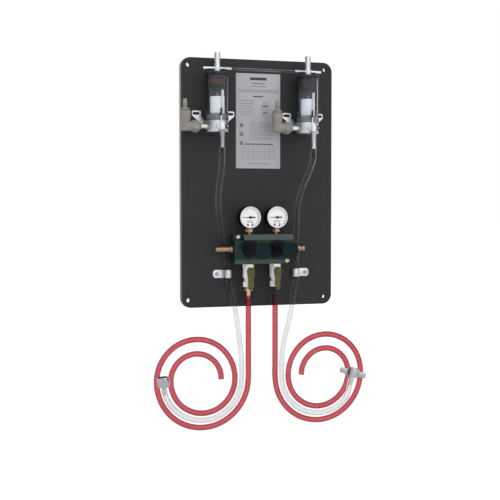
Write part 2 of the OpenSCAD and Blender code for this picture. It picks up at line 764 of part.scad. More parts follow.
// Shut-off valve body: top hexagon, barrel with a stem boss, waist and lower hexagon
module shutoff_body(side) {
    color([0.85, 0.85, 0.86]) translate([side * station_x, valve_y, 0]) difference() {
        union() {
            bar_z(6, block_low - 0.5, block_low + thread_l - 1);
            hex_z(26, -207, block_low - 0.5);
            bar_z(valve_r, valve_waist_top, -207);
            bar_z(10.3, valve_waist_low, valve_waist_top);
            hex_z(24, valve_low, valve_waist_low);
            bar_y(valve_boss_r, 0, valve_boss_y - valve_y, 0, ball_z);
        }
        bar_z(ball_bore_r, valve_low - cut, block_low + thread_l);
        bar_z(6, valve_low - cut, valve_low + 9);
        translate([0, 0, ball_z]) sphere(r = ball_r + run);
        bar_y(valve_stem_r + run, 0, valve_boss_y - valve_y - cut, 0, ball_z);
    }
}
// Ball with its through hole and the slot that takes the lever's stem
module shutoff_ball(side) {
    color([0.8, 0.8, 0.8]) translate([side * station_x, valve_y, ball_z]) difference() {
        sphere(r = ball_r);
        bar_z(ball_bore_r, -ball_r - cut, ball_r + cut);
        translate([-tang_t / 2 - run, -ball_r - cut, -4])
            cube([tang_t + 2 * run, tang_l + 2 * run + cut, 8]);
    }
}
// Lever of a shut-off valve: stem, hub and a sleeved handle that points down when open
module shutoff_lever(side) {
    x = side * station_x;
    color([0.45, 0.43, 0.24]) {
        upright(lever_y, lever_t) translate([x, 0]) {
            translate([0, ball_z]) circle(r = lever_hub_r);
            polygon([[-lever_hub_r * 0.95, ball_z - 4], [lever_hub_r * 0.95, ball_z - 4],
                     [lever_hub_r * 0.78, ball_z - 15], [lever_w / 2 + 0.4, ball_z - 28],
                     [lever_w / 2, lever_low + lever_w / 2], [-lever_w / 2, lever_low + lever_w / 2],
                     [-lever_w / 2 - 0.4, ball_z - 28], [-lever_hub_r * 0.78, ball_z - 15]]);
            translate([0, lever_low + lever_w / 2]) circle(r = lever_w / 2);
        }
        bar_y(valve_stem_r, valve_y - ball_r - run, lever_y - 1, x, ball_z);
        translate([x - tang_t / 2, valve_y - ball_r - run - 0.01, ball_z - 2.9])
            cube([tang_t, tang_l, 5.8]);
    }
}
// Brass barb below a shut-off valve
module shutoff_barb(side) {
    color([0.8, 0.6, 0.45]) translate([side * station_x, valve_y, 0]) difference() {
        union() {
            bar_z(6, barb_flange_top, valve_low + 8);
            bar_z(10.8, barb_flange_low, barb_flange_top);
            bar_z(barb_neck_r, barb_low, barb_flange_low);
            for (i = [0:2])
                bar_z(barb_neck_r - 0.1, barb_low + i * 7, barb_low + 6 + i * 7, r2 = barb_neck_r + 0.8);
        }
        bar_z(3, barb_low - cut, valve_low + 9);
    }
}

// Gas hose: down from its barb, then a flat spiral made of half turns
module gas_hose(side) {
    color([0.75, 0.2, 0.24]) {
        translate([side * station_x, valve_y, 0]) bar_z(hose_r, coil_z, hose_top);
        translate([side * coil_x, valve_y, coil_z]) for (k = [0:coil_halves - 1]) {
            shift = (k % 2 == 0 ? -1 : 1) * side * coil_step / 2;
            rotate([90, 0, 0]) translate([shift, 0, 0]) rotate(k % 2 == 0 ? 180 : 0)
                rotate_extrude(angle = 180) translate([coil_r - k * coil_step, 0])
                    circle(r = hose_r, $fn = 32);
        }
    }
}
// Drain hose of the left chamber, from its spigot to the wing nut
module drain_hose_left() {
    color([0.85, 0.88, 0.87, 0.5])
        swept_tube(concat(left_drain_route, nest_points(LEFT, left_nest_end), left_lift_route,
                          hose_end(left_drain_end, left_end_lean)), hose_r);
}
// Drain hose of the right chamber, from its spigot to the wing nut
module drain_hose_right() {
    color([0.85, 0.88, 0.87, 0.5])
        swept_tube(concat(right_drain_route, nest_points(RIGHT, right_nest_end), right_lift_route,
                          hose_end(right_drain_end, right_end_lean)), hose_r);
}
// Short clear hose between the cross tubes of the two chambers, bowed forward
module link_hose() {
    over = cross_reach - link_grip;
    reach = chamber_x - over * cos(cross_turn);
    end_y = chamber_y - over * sin(cross_turn);
    color([0.8, 0.84, 0.84, 0.5])
        swept_tube([for (t = [-1:0.25:1]) let (free = pow(1 - t * t, 2))
            [t * reach, end_y - link_bow * free, cross_z - link_sag * free]], link_d / 2);
}

// Middle of the drain hose under each clip, and the clip's screw outside it
function clip_x(side) = side < 0 ? -81 : 97.6;
function clip_screw_x(side) = clip_x(side) + side * clip_screw_dx;
// One-hole straps that hold the drain hoses to the board
module hose_clips() {
    hose_depth = 7.5;
    in_r = hose_r + 0.35;
    out_r = in_r + clip_t;
    color([0.85, 0.85, 0.86]) for (side = [LEFT, RIGHT])
        translate([clip_x(side), board_face_y, clip_z]) mirror([side < 0 ? 1 : 0, 0, 0]) difference() {
            union() {
                translate([0, 0, -clip_w / 2]) linear_extrude(clip_w) difference() {
                    union() {
                        translate([0, -hose_depth]) circle(r = out_r);
                        translate([-out_r, -hose_depth]) square([2 * out_r, hose_depth]);
                    }
                    translate([0, -hose_depth]) circle(r = in_r);
                    translate([-in_r, -hose_depth]) square([2 * in_r, hose_depth + cut]);
                    translate([-out_r - cut, 0]) square([3 * out_r, out_r]);
                }
                translate([in_r + 0.4, 0, 0]) rotate([90, 0, 0]) linear_extrude(clip_t)
                    polygon([[0, -clip_w / 2], [clip_ear_dx - in_r - 5.4, -clip_w / 2],
                             [clip_ear_dx - in_r - 0.4, -clip_w / 2 + 5],
                             [clip_ear_dx - in_r - 0.4, clip_w / 2 - 5],
                             [clip_ear_dx - in_r - 5.4, clip_w / 2], [0, clip_w / 2]]);
            }
            bar_y(2, cut, -clip_t - cut, clip_screw_dx, 0);
        }
}

// Moves a piece made along +Z from the origin to the end of a drain hose
module at_hose_end(side) {
    end = side < 0 ? left_drain_end : right_drain_end;
    lean = side < 0 ? left_end_lean : right_end_lean;
    translate(end) rotate([0, lean, 0]) children();
}
// Barbed tails in the ends of both drain hoses, each with the flange that its nut pulls
module hose_tails() {
    color([0.8, 0.8, 0.8]) for (side = [LEFT, RIGHT]) at_hose_end(side) difference() {
        union() {
            bar_z(3.6, -18, 0);
            bar_z(tail_r, 0, 1.6 + nut_lip);
            bar_z(tail_flange_r, 1.6 + nut_lip, 4.2 + nut_lip);
        }
        bar_z(2.2, -19, 6 + nut_lip);
    }
}
// Wing nut that swivels on a hose tail, open to its thread at the top
module wing_nut(side) {
    turn = side < 0 ? left_wing_turn : right_wing_turn;
    color([0.75, 0.76, 0.77]) at_hose_end(side) translate([0, 0, 1.5]) rotate(turn) difference() {
        union() {
            cylinder(r1 = nut_r - 1, r2 = nut_r, h = 1);
            translate([0, 0, 1]) cylinder(r = nut_r, h = nut_h - 2);
            translate([0, 0, nut_h - 1]) cylinder(r1 = nut_r, r2 = nut_r - 1, h = 1);
            for (a = [0, 180]) rotate(a) translate([0, wing_t / 2, 4]) rotate([90, 0, 0])
                linear_extrude(wing_t) {
                    square([wing_reach - 4, wing_h]);
                    translate([wing_reach - 5, 0]) square([5, wing_h - 4]);
                    translate([wing_reach - 4, 4]) square([4, wing_h - 8]);
                    translate([wing_reach - 4, wing_h - 4]) circle(r = 4);
                }
        }
        translate([0, 0, nut_lip]) cylinder(r = nut_thread_r, h = nut_h);
        translate([0, 0, -cut]) cylinder(r = tail_r + run, h = nut_lip + 2 * cut);
    }
}

panel();
instruction_sheet();
panel_screws();
cap_seals();
side_plugs();
float_guides();
detector_bracket(LEFT);  // detector_bracket_left
detector_base(LEFT);  // detector_base_left
detector_chamber(LEFT);  // detector_chamber_left
detector_cap(LEFT);  // detector_cap_left
float_body(LEFT);  // float_left
outlet_cross(LEFT);  // outlet_cross_left
drain_valve(LEFT);  // drain_valve_left
drain_lever(LEFT);  // drain_lever_left
inlet_nut(LEFT);  // inlet_nut_left
inlet_elbow(LEFT);  // inlet_elbow_left
detector_bracket(RIGHT);  // detector_bracket_right
detector_base(RIGHT);  // detector_base_right
detector_chamber(RIGHT);  // detector_chamber_right
detector_cap(RIGHT);  // detector_cap_right
float_body(RIGHT);  // float_right
outlet_cross(RIGHT);  // outlet_cross_right
drain_valve(RIGHT);  // drain_valve_right
drain_lever(RIGHT);  // drain_lever_right
inlet_nut(RIGHT);  // inlet_nut_right
inlet_elbow(RIGHT);  // inlet_elbow_right
regulator_block();
gas_inlet_barb();
manifold_plug();
diaphragms();
bonnet(LEFT);  // bonnet_left
bonnet(RIGHT);  // bonnet_right
spring(LEFT);  // spring_left
spring(RIGHT);  // spring_right
pressure_knob(LEFT);  // pressure_knob_left
pressure_knob(RIGHT);  // pressure_knob_right
gauge_case(LEFT);  // gauge_case_left
gauge_case(RIGHT);  // gauge_case_right
gauge_needle(LEFT);  // gauge_needle_left
gauge_needle(RIGHT);  // gauge_needle_right
gauge_lens(LEFT);  // gauge_lens_left
gauge_lens(RIGHT);  // gauge_lens_right
gauge_stem(LEFT);  // gauge_stem_left
gauge_stem(RIGHT);  // gauge_stem_right
shutoff_body(LEFT);  // shutoff_body_left
shutoff_body(RIGHT);  // shutoff_body_right
shutoff_ball(LEFT);  // shutoff_ball_left
shutoff_ball(RIGHT);  // shutoff_ball_right
shutoff_lever(LEFT);  // shutoff_lever_left
shutoff_lever(RIGHT);  // shutoff_lever_right
shutoff_barb(LEFT);  // shutoff_barb_left
shutoff_barb(RIGHT);  // shutoff_barb_right
gas_hose(LEFT);  // gas_hose_left
gas_hose(RIGHT);  // gas_hose_right
drain_hose_left();
drain_hose_right();
link_hose();
hose_clips();
hose_tails();
wing_nut(LEFT);  // wing_nut_left
wing_nut(RIGHT);  // wing_nut_right
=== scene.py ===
"""Looks of the gas regulator panel, dressed piece by piece over its frame.

Sizes are in millimetres in the frame's own directions: +X to the right, +Z up and -Y to
the front. Every shell is scaled to metres when its piece is finished.
"""
import logging
import math
from collections.abc import Callable, Sequence
from dataclasses import dataclass, replace
from enum import Enum
from typing import Any

import bmesh
import bpy
from mathutils import Matrix, Vector

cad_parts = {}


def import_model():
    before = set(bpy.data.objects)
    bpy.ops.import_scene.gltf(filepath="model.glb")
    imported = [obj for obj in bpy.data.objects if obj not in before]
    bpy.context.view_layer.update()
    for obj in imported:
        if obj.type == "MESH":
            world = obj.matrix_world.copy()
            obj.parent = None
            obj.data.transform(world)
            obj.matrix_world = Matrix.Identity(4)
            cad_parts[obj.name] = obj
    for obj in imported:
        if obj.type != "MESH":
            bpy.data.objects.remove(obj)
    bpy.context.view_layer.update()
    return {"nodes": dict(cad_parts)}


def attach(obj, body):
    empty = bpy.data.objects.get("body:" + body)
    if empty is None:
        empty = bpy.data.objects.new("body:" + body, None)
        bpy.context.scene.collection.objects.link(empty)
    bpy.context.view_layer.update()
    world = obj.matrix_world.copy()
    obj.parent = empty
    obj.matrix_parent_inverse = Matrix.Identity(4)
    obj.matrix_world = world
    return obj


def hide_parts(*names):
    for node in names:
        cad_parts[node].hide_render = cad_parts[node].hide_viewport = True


MM = 0.001
HALF_TURN = math.pi
FULL_TURN = 2 * math.pi
Point2 = tuple[float, float]
Point3 = tuple[float, float, float]
Colour = tuple[float, float, float, float]
WHITE: Colour = (1.0, 1.0, 1.0, 1.0)
PATCH_SPAN = (0.35, 0.65)
GRAIN_SPAN = (0.3, 0.7)
EASED_ABOVE = 0.5
SMOOTH_BELOW = math.radians(32)
log = logging.getLogger("panel")


class Side(Enum):
    """The two stations and chambers, by the sign of their X."""

    LEFT = -1
    RIGHT = 1

    @property
    def word(self) -> str:
        """Name used in nodes and bodies."""
        return self.name.lower()


# Places that several assemblies share, in mm, and turns in degrees
STATION_X = 35.2
BLOCK_Z = -161.7
BLOCK_FRONT = -63.0
VALVE_Y = -43.0
CHAMBER_X = 118.0
CHAMBER_Y = -52.0
CROSS_Z = 276.0
CROSS_REACH = 35.3
CROSS_TURN = 2
CLIP_X = {Side.LEFT: -81.0, Side.RIGHT: 97.6}
NUT_END = {Side.LEFT: (-256.6, -64, -489.5), Side.RIGHT: (233.5, -67, -490)}
NUT_LEAN = {Side.LEFT: -6, Side.RIGHT: 15}


class Way(Enum):
    """Direction that a shell made along +Z is turned to, as rotations about X, Y and Z."""

    UP = (0, 0, 0)
    FRONT = (90, 0, 0)
    BACK = (-90, 0, 0)
    RIGHT = (0, 90, 0)
    LEFT = (0, -90, 0)

    def at(self, x: float, y: float, z: float, turn: float = 0) -> Matrix:
        """Place of a shell.

        Args:
            x, y, z: Where the shell's origin goes, in mm.
            turn: Turn of the shell about its own axis before that, in degrees.

        Returns:
            The matrix that puts the shell there.
        """
        about_x, about_y, about_z = (math.radians(angle) for angle in self.value)
        return (Matrix.Translation((x, y, z)) @ Matrix.Rotation(about_z, 4, "Z")
                @ Matrix.Rotation(about_y, 4, "Y") @ Matrix.Rotation(about_x, 4, "X")
                @ Matrix.Rotation(math.radians(turn), 4, "Z"))


class Cut(Enum):
    """How one shape works on another."""

    OUT = "DIFFERENCE"
    SHARED = "INTERSECT"


def linear(colour: str) -> Colour:
    """Turns an sRGB hex value to the linear colour that a node takes."""
    parts = [int(colour[i:i + 2], 16) / 255 for i in (0, 2, 4)]
    return (*(p / 12.92 if p <= 0.04045 else ((p + 0.055) / 1.055) ** 2.4 for p in parts), 1.0)


def add_node(tree: bpy.types.NodeTree, kind: str, settings: dict[str, Any] | None = None,
             inputs: dict[str | int, Any] | None = None) -> bpy.types.Node:
    """Adds a node to a tree.

    Args:
        tree: The tree that gets the node.
        kind: The node's type.
        settings: Properties of the node.
        inputs: Socket name or number to a value, or to a socket that is linked to it.

    Returns:
        The new node.
    """
    node = tree.nodes.new(kind)
    for name, value in (settings or {}).items():
        setattr(node, name, value)
    for name, value in (inputs or {}).items():
        if isinstance(value, bpy.types.NodeSocket):
            tree.links.new(value, node.inputs[name])
        else:
            node.inputs[name].default_value = value
    return node


def ramp(tree: bpy.types.NodeTree, value: Any, span: Point2,
         ends: Point2 = (0.0, 1.0)) -> bpy.types.NodeSocket:
    """Maps a span of a value to the range between two ends, clamped."""
    return add_node(tree, "ShaderNodeMapRange", inputs={
        0: value, 1: span[0], 2: span[1], 3: ends[0], 4: ends[1]}).outputs[0]


def work_out(tree: bpy.types.NodeTree, operation: str, first: Any,
             second: Any) -> bpy.types.NodeSocket:
    """Adds or multiplies two values, with the result kept between 0 and 1."""
    return add_node(tree, "ShaderNodeMath", {"operation": operation, "use_clamp": True},
                    {0: first, 1: second}).outputs[0]


def mix_colours(tree: bpy.types.NodeTree, share: Any, first: Any,
                second: Any) -> bpy.types.NodeSocket:
    """Mixes two colours by the second one's share."""
    return add_node(tree, "ShaderNodeMix", {"data_type": "RGBA"},
                    {0: share, 6: first, 7: second}).outputs[2]


def put(name: str, data: bpy.types.ID) -> bpy.types.Object:
    """Puts an object with the given data into the scene."""
    placed = bpy.data.objects.new(name, data)
    bpy.context.scene.collection.objects.link(placed)
    return placed


@dataclass(frozen=True)
class Finish:
    """A surface finish: its colours, gloss and grain, with sizes in mm."""

    name: str
    colour: str
    shade: str
    roughness: float
    metallic: float = 0.0
    patch: float = 30.0
    grain: float = 1.0
    relief: float = 0.01
    swing: float = 0.06
    stretch: Point3 = (1.0, 1.0, 1.0)
    coat: float = 0.0
    coat_blur: float = 0.2
    transmission: float = 0.0
    ior: float = 1.5
    shadow: float = 0.0
    specular: float = 0.5
    rim: str = ""
    rim_span: Point2 = (0.22, 0.45)
    haze: float = 0.0
    haze_span: Point2 = (0.5, 0.8)

    def like(self, name: str, colour: str, shade: str, **changes: Any) -> "Finish":
        """The same finish under another name, with other colours and the given changes."""
        return replace(self, name=name, colour=colour, shade=shade, **changes)

    def material(self) -> bpy.types.Material:
        """Builds the material, or returns it if it is there already.

        Returns:
            A material whose colour varies slowly, and whose gloss and height follow its grain.
        """
        if self.name in bpy.data.materials:
            return bpy.data.materials[self.name]
        material = bpy.data.materials.new(self.name)
        material.use_nodes = True
        tree = material.node_tree
        tree.nodes.clear()
        place = add_node(tree, "ShaderNodeTexCoord").outputs["Object"]
        drawn = add_node(tree, "ShaderNodeMapping", inputs={"Vector": place, "Scale": self.stretch})
        patches = add_node(tree, "ShaderNodeTexNoise", inputs={
            "Vector": place, "Scale": 1 / (self.patch * MM), "Detail": 3.0})
        grain = add_node(tree, "ShaderNodeTexNoise", inputs={
            "Vector": drawn.outputs[0], "Scale": 1 / (self.grain * MM), "Detail": 4.0,
            "Roughness": 0.6}).outputs[0]
        colour = mix_colours(tree, ramp(tree, patches.outputs[0], PATCH_SPAN),
                             linear(self.colour), linear(self.shade))
        clear = self.transmission
        if self.rim:
            facing = add_node(tree, "ShaderNodeLayerWeight",
                              inputs={"Blend": 0.5}).outputs["Facing"]
            colour = mix_colours(tree, ramp(tree, facing, self.rim_span), colour,
                                 linear(self.rim))
            clear = ramp(tree, facing, self.haze_span, (clear, clear - self.haze))
        gloss = ramp(tree, grain, GRAIN_SPAN, (max(self.roughness - self.swing, 0.01),
                                               self.roughness + self.swing))
        height = add_node(tree, "ShaderNodeBump", inputs={
            "Height": grain, "Distance": self.relief * MM, "Strength": 1.0})
        surface = add_node(tree, "ShaderNodeBsdfPrincipled", inputs={
            "Base Color": colour, "Roughness": gloss, "Normal": height.outputs[0],
            "Metallic": self.metallic, "Coat Weight": self.coat,
            "Coat Roughness": self.coat_blur, "Transmission Weight": clear, "IOR": self.ior,
            "Specular IOR Level": self.specular}).outputs[0]
        if self.shadow:
            light = add_node(tree, "ShaderNodeLightPath")
            passed = work_out(tree, "MULTIPLY", light.outputs["Is Shadow Ray"], self.shadow)
            gap = add_node(tree, "ShaderNodeBsdfTransparent",
                           inputs={"Color": linear(self.colour)})
            surface = add_node(tree, "ShaderNodeMixShader", inputs={
                0: passed, 1: surface, 2: gap.outputs[0]}).outputs[0]
        add_node(tree, "ShaderNodeOutputMaterial", inputs={"Surface": surface})
        return material


# Laminated board: dark satin skin with a fine pressed grain, pale grey on its cut edges
BOARD_SKIN = Finish("laminate skin, pressed", "323234", "2E2E30", 0.5, relief=0.012, patch=90,
                    specular=0.15)
BOARD_EDGE_GREY = Finish("laminate core, sawn", "868685", "7D7D7C", 0.6, grain=2.0, relief=0.02,
                    stretch=(1, 0.2, 1))
# Printed film: smooth and pale grey, with flat inks
SHEET_FILM = Finish("printed film, satin", "AFAFB4", "AAAAB0", 0.38, grain=0.8, relief=0.003)
INK_DARK = SHEET_FILM.like("ink, near black", "262527", "2C2B2D", roughness=0.45)
INK_GREY = INK_DARK.like("ink, mid grey", "848489", "8C8C91")
INK_PALE = INK_DARK.like("ink, pale grey", "9A9A9F", "A0A0A5")
INK_BROWN = INK_DARK.like("ink, brown", "75604F", "7D6A5A")
# Turned aluminium: bright, with fine rings from the lathe
BASE_METAL = Finish("aluminium, turned", "C4C5CA", "B8BAC0", 0.40, 1.0, grain=0.9, relief=0.006,
                    stretch=(0.15, 0.15, 3))
# The same metal inside the tube, on its seat collar and the float's stem: darker grey and dull
INNER_GREY_METAL = Finish("aluminium, blasted", "7C828A", "727880", 0.5, 0.7, grain=0.9)
# Zinc plated sheet: pale and bright, its gloss broken by the rolling
BRIGHT_PLATE = Finish("steel sheet, zinc plated", "CCCCD0", "C0C0C5", 0.32, 0.85, grain=1.4,
                      relief=0.006, stretch=(0.3, 1, 1))
# Bright wire and tube: nearly white, its gloss soft
WHITE_PLATE = Finish("steel, bright zinc", "ECECEE", "E2E2E5", 0.4, 0.35, relief=0.004)
# The same on the valves, where it is new
NEW_PLATE = WHITE_PLATE.like("steel, bright zinc, new", "F4F4F6", "EBEBEE", roughness=0.35,
                             metallic=0.1)
# The same plating on the valves' front hexagon facets: glossier, and whiter as a painted highlight
HIGHLIGHT_PLATE = WHITE_PLATE.like("steel, bright zinc, ground", "FCFCF6", "F6F6F0", roughness=0.3,
                                metallic=0.3)
# Nickel plated fittings: white and bright
BRIGHT_FITTING = Finish("brass, nickel plated", "D2D3D7", "C6C7CC", 0.27, 0.95, relief=0.004)
# The same plating, rubbed satin
SATIN_FITTING = BRIGHT_FITTING.like("brass, nickel plated, satin", "B4B5BA", "A8A9AE",
                                    roughness=0.25, metallic=1.0)
# The same plating, darker: on the left bleed valve this darker colour is painted shade
DARKER_FITTING = SATIN_FITTING.like("brass, nickel plated, dulled", "9A9BA0", "8E9095",
                                  roughness=0.24)
# Chromed zinc: cool mirror with soft casting waves
CHROME = Finish("zinc, chromed", "A8A9AE", "9A9BA1", 0.14, 1.0, grain=4.0, swing=0.03)
# The same casting inside its thread, dark as painted shade, since little light gets in
CHROME_THREAD_SHADE = Finish("zinc, chromed, threaded", "3C3D42", "323338", 0.35, 0.8, grain=1.5,
                       relief=0.02)
# Bare brass with a reddish cast, turned and left satin
BRASS = Finish("brass, turned", "A28575", "967A6B", 0.32, 1.0, grain=0.9, relief=0.006)
# The same brass on the left valve's barb, lighter as painted light
BRASS_PAINTED_LIGHT = BRASS.like("brass, painted light", "D0AA94", "C49E88", roughness=0.36, metallic=0.9)
# The same brass where the hose covers it, darker and redder as painted shade
BRASS_PAINTED_SHADE = BRASS.like("brass, painted shade", "96504A", "8A4640", roughness=0.45, metallic=0.6,
                        relief=0.01)
# The same brass on the right valve's barb, near black as painted shadow
BRASS_PAINTED_SHADOW = BRASS_PAINTED_SHADE.like("brass, painted shadow", "2C2020", "241B1B", roughness=0.5, metallic=0.5)
# Cast acrylic tube: clear and polished, grey where it is looked at edge-on
ACRYLIC = Finish("acrylic tube, polished", "F2F6F9", "EFF4F7", 0.03, grain=6.0, relief=0.001,
                 swing=0.01, transmission=1.0, ior=1.19, shadow=0.9, coat=0.18, coat_blur=0.12,
                 rim="62686D", rim_span=(0.47, 0.64))
GAUGE_GLASS = Finish("polycarbonate window", "FFFFFF", "FDFEFE", 0.03, grain=6.0, relief=0.001,
                     swing=0.01, transmission=1.0, ior=1.2, shadow=0.98)
# Soft clear PVC: slightly wavy, and milky where its wall is looked at edge-on
CLEAR_HOSE = Finish("PVC hose, clear", "EEEEEE", "EAEAEA", 0.02, grain=9.0, relief=0.0003,
                    swing=0.01, transmission=1.0, ior=1.1, shadow=0.85, coat=0.08,
                    coat_blur=0.04, rim="DDDCDC", haze=0.2)
# Tinted PVC: red and glossy, lets light through
RED_HOSE = Finish("PVC hose, red", "DF939B", "DC8D95", 0.06, grain=9.0, relief=0.0005,
                  swing=0.01, transmission=1.0, ior=1.12, shadow=0.5, coat=0.2, coat_blur=0.08,
                  rim="822F38")
# Turned acetal of the floats: white, soft gloss
FLOAT_PLASTIC = Finish("acetal, turned white", "E6E7E8", "DFE1E3", 0.32, relief=0.004)
# Moulded black nylon: satin with a fine spark texture
BLACK_PLASTIC = Finish("nylon, moulded black", "19191C", "17171A", 0.36, grain=0.7, specular=0.3)
BONNET_PLASTIC = BLACK_PLASTIC.like("nylon, moulded grey black", "18181B", "151517",
                                    roughness=0.42, specular=0.1)
KNOB_FACE = BLACK_PLASTIC.like("nylon, moulded green black", "0B2326", "092022", roughness=0.3,
                               relief=0.006, specular=0.08)
# Anodised block: deep green, sealed, faint milling along its length
BLOCK_GREEN = Finish("aluminium, anodised green", "0F2B25", "0D2721", 0.3, grain=1.6,
                     relief=0.006, stretch=(0.1, 1, 1), specular=0.2, coat=0.06)
# The same on the milled bevels: their lighter green is a painted highlight, and they are glossier
BEVEL_HIGHLIGHT_GREEN = BLOCK_GREEN.like("aluminium, anodised green, milled", "1C3B34", "19362F",
                               roughness=0.35, specular=0.4, coat=0.3)
# Gauge case of enamelled steel, and the white dial and bezel with their inks
GAUGE_BLACK = Finish("steel, enamelled black", "070708", "0A0A0B", 0.5, grain=1.5, relief=0.006,
                     specular=0.05)
DIAL_WHITE = Finish("dial enamel, white", "F3F3F5", "F0F0F3", 0.4, relief=0.002)
DIAL_BLACK = Finish("dial ink, black", "101012", "161618", 0.5, grain=0.8, relief=0.002)
DIAL_GREY = DIAL_BLACK.like("dial ink, grey", "747478", "7C7C80")
DIAL_PALE = DIAL_BLACK.like("dial ink, pale grey", "AEAEB2", "B6B6BA")
# Vinyl sleeve of the valve levers: dipped, so mottled and slightly uneven
OLIVE_SLEEVE = Finish("vinyl, dipped olive", "66622F", "464220", 0.45, grain=3.0, relief=0.1,
                      patch=5, specular=0.3)
# The same dip in red on the bleed levers' tips
LEVER_TIP = Finish("vinyl, dipped red", "640F1F", "5A0C1B", 0.30, grain=2.0, relief=0.02,
                   specular=0.3)
# Elbows and union nuts: filled grey beige plastic
BEIGE_PLASTIC = Finish("acetal, moulded beige", "928F88", "88857E", 0.45, grain=0.9,
                       relief=0.012, specular=0.35)
# Sealing rings: soft matt red, the right one darkened to brown
RED_RUBBER = Finish("silicone ring, red", "6A1722", "60131E", 0.4, grain=1.2, specular=0.2)
DARK_RUBBER = RED_RUBBER.like("silicone ring, dark", "33191D", "2C1518", roughness=0.5)
# Diaphragms and springs, seen only where the part is opened
BLACK_RUBBER = Finish("rubber, moulded black", "232324", "1E1E1F", 0.6, grain=0.8, relief=0.015)
SPRING_STEEL = Finish("spring steel, drawn", "9C9DA0", "8E8F93", 0.3, 1.0, grain=0.6,
                      relief=0.004)
# Studio floor: matt and pale, so that only the shadow shows
FLOOR = Finish("studio floor, matt", "F2F2F2", "F0F0F0", 0.9, grain=3.0, patch=300)


def barbs(root: float, crest: float, start: float, count: int, pitch: float,
          share: float = 0.8) -> list[Point2]:
    """Profile of barb rings, each widest at its lower end.

    Args:
        root: Radius between the rings.
        crest: Radius of each ring.
        start: Height of the first crest.
        count: How many rings there are.
        pitch: Distance from crest to crest.
        share: Part of the pitch that each ring takes.

    Returns:
        Points as (radius, height).
    """
    points: list[Point2] = []
    for i in range(count):
        low = start + i * pitch
        points += [(crest, low), (root, low + share * pitch)]
        if i < count - 1:
            points.append((root, low + pitch))
    return points


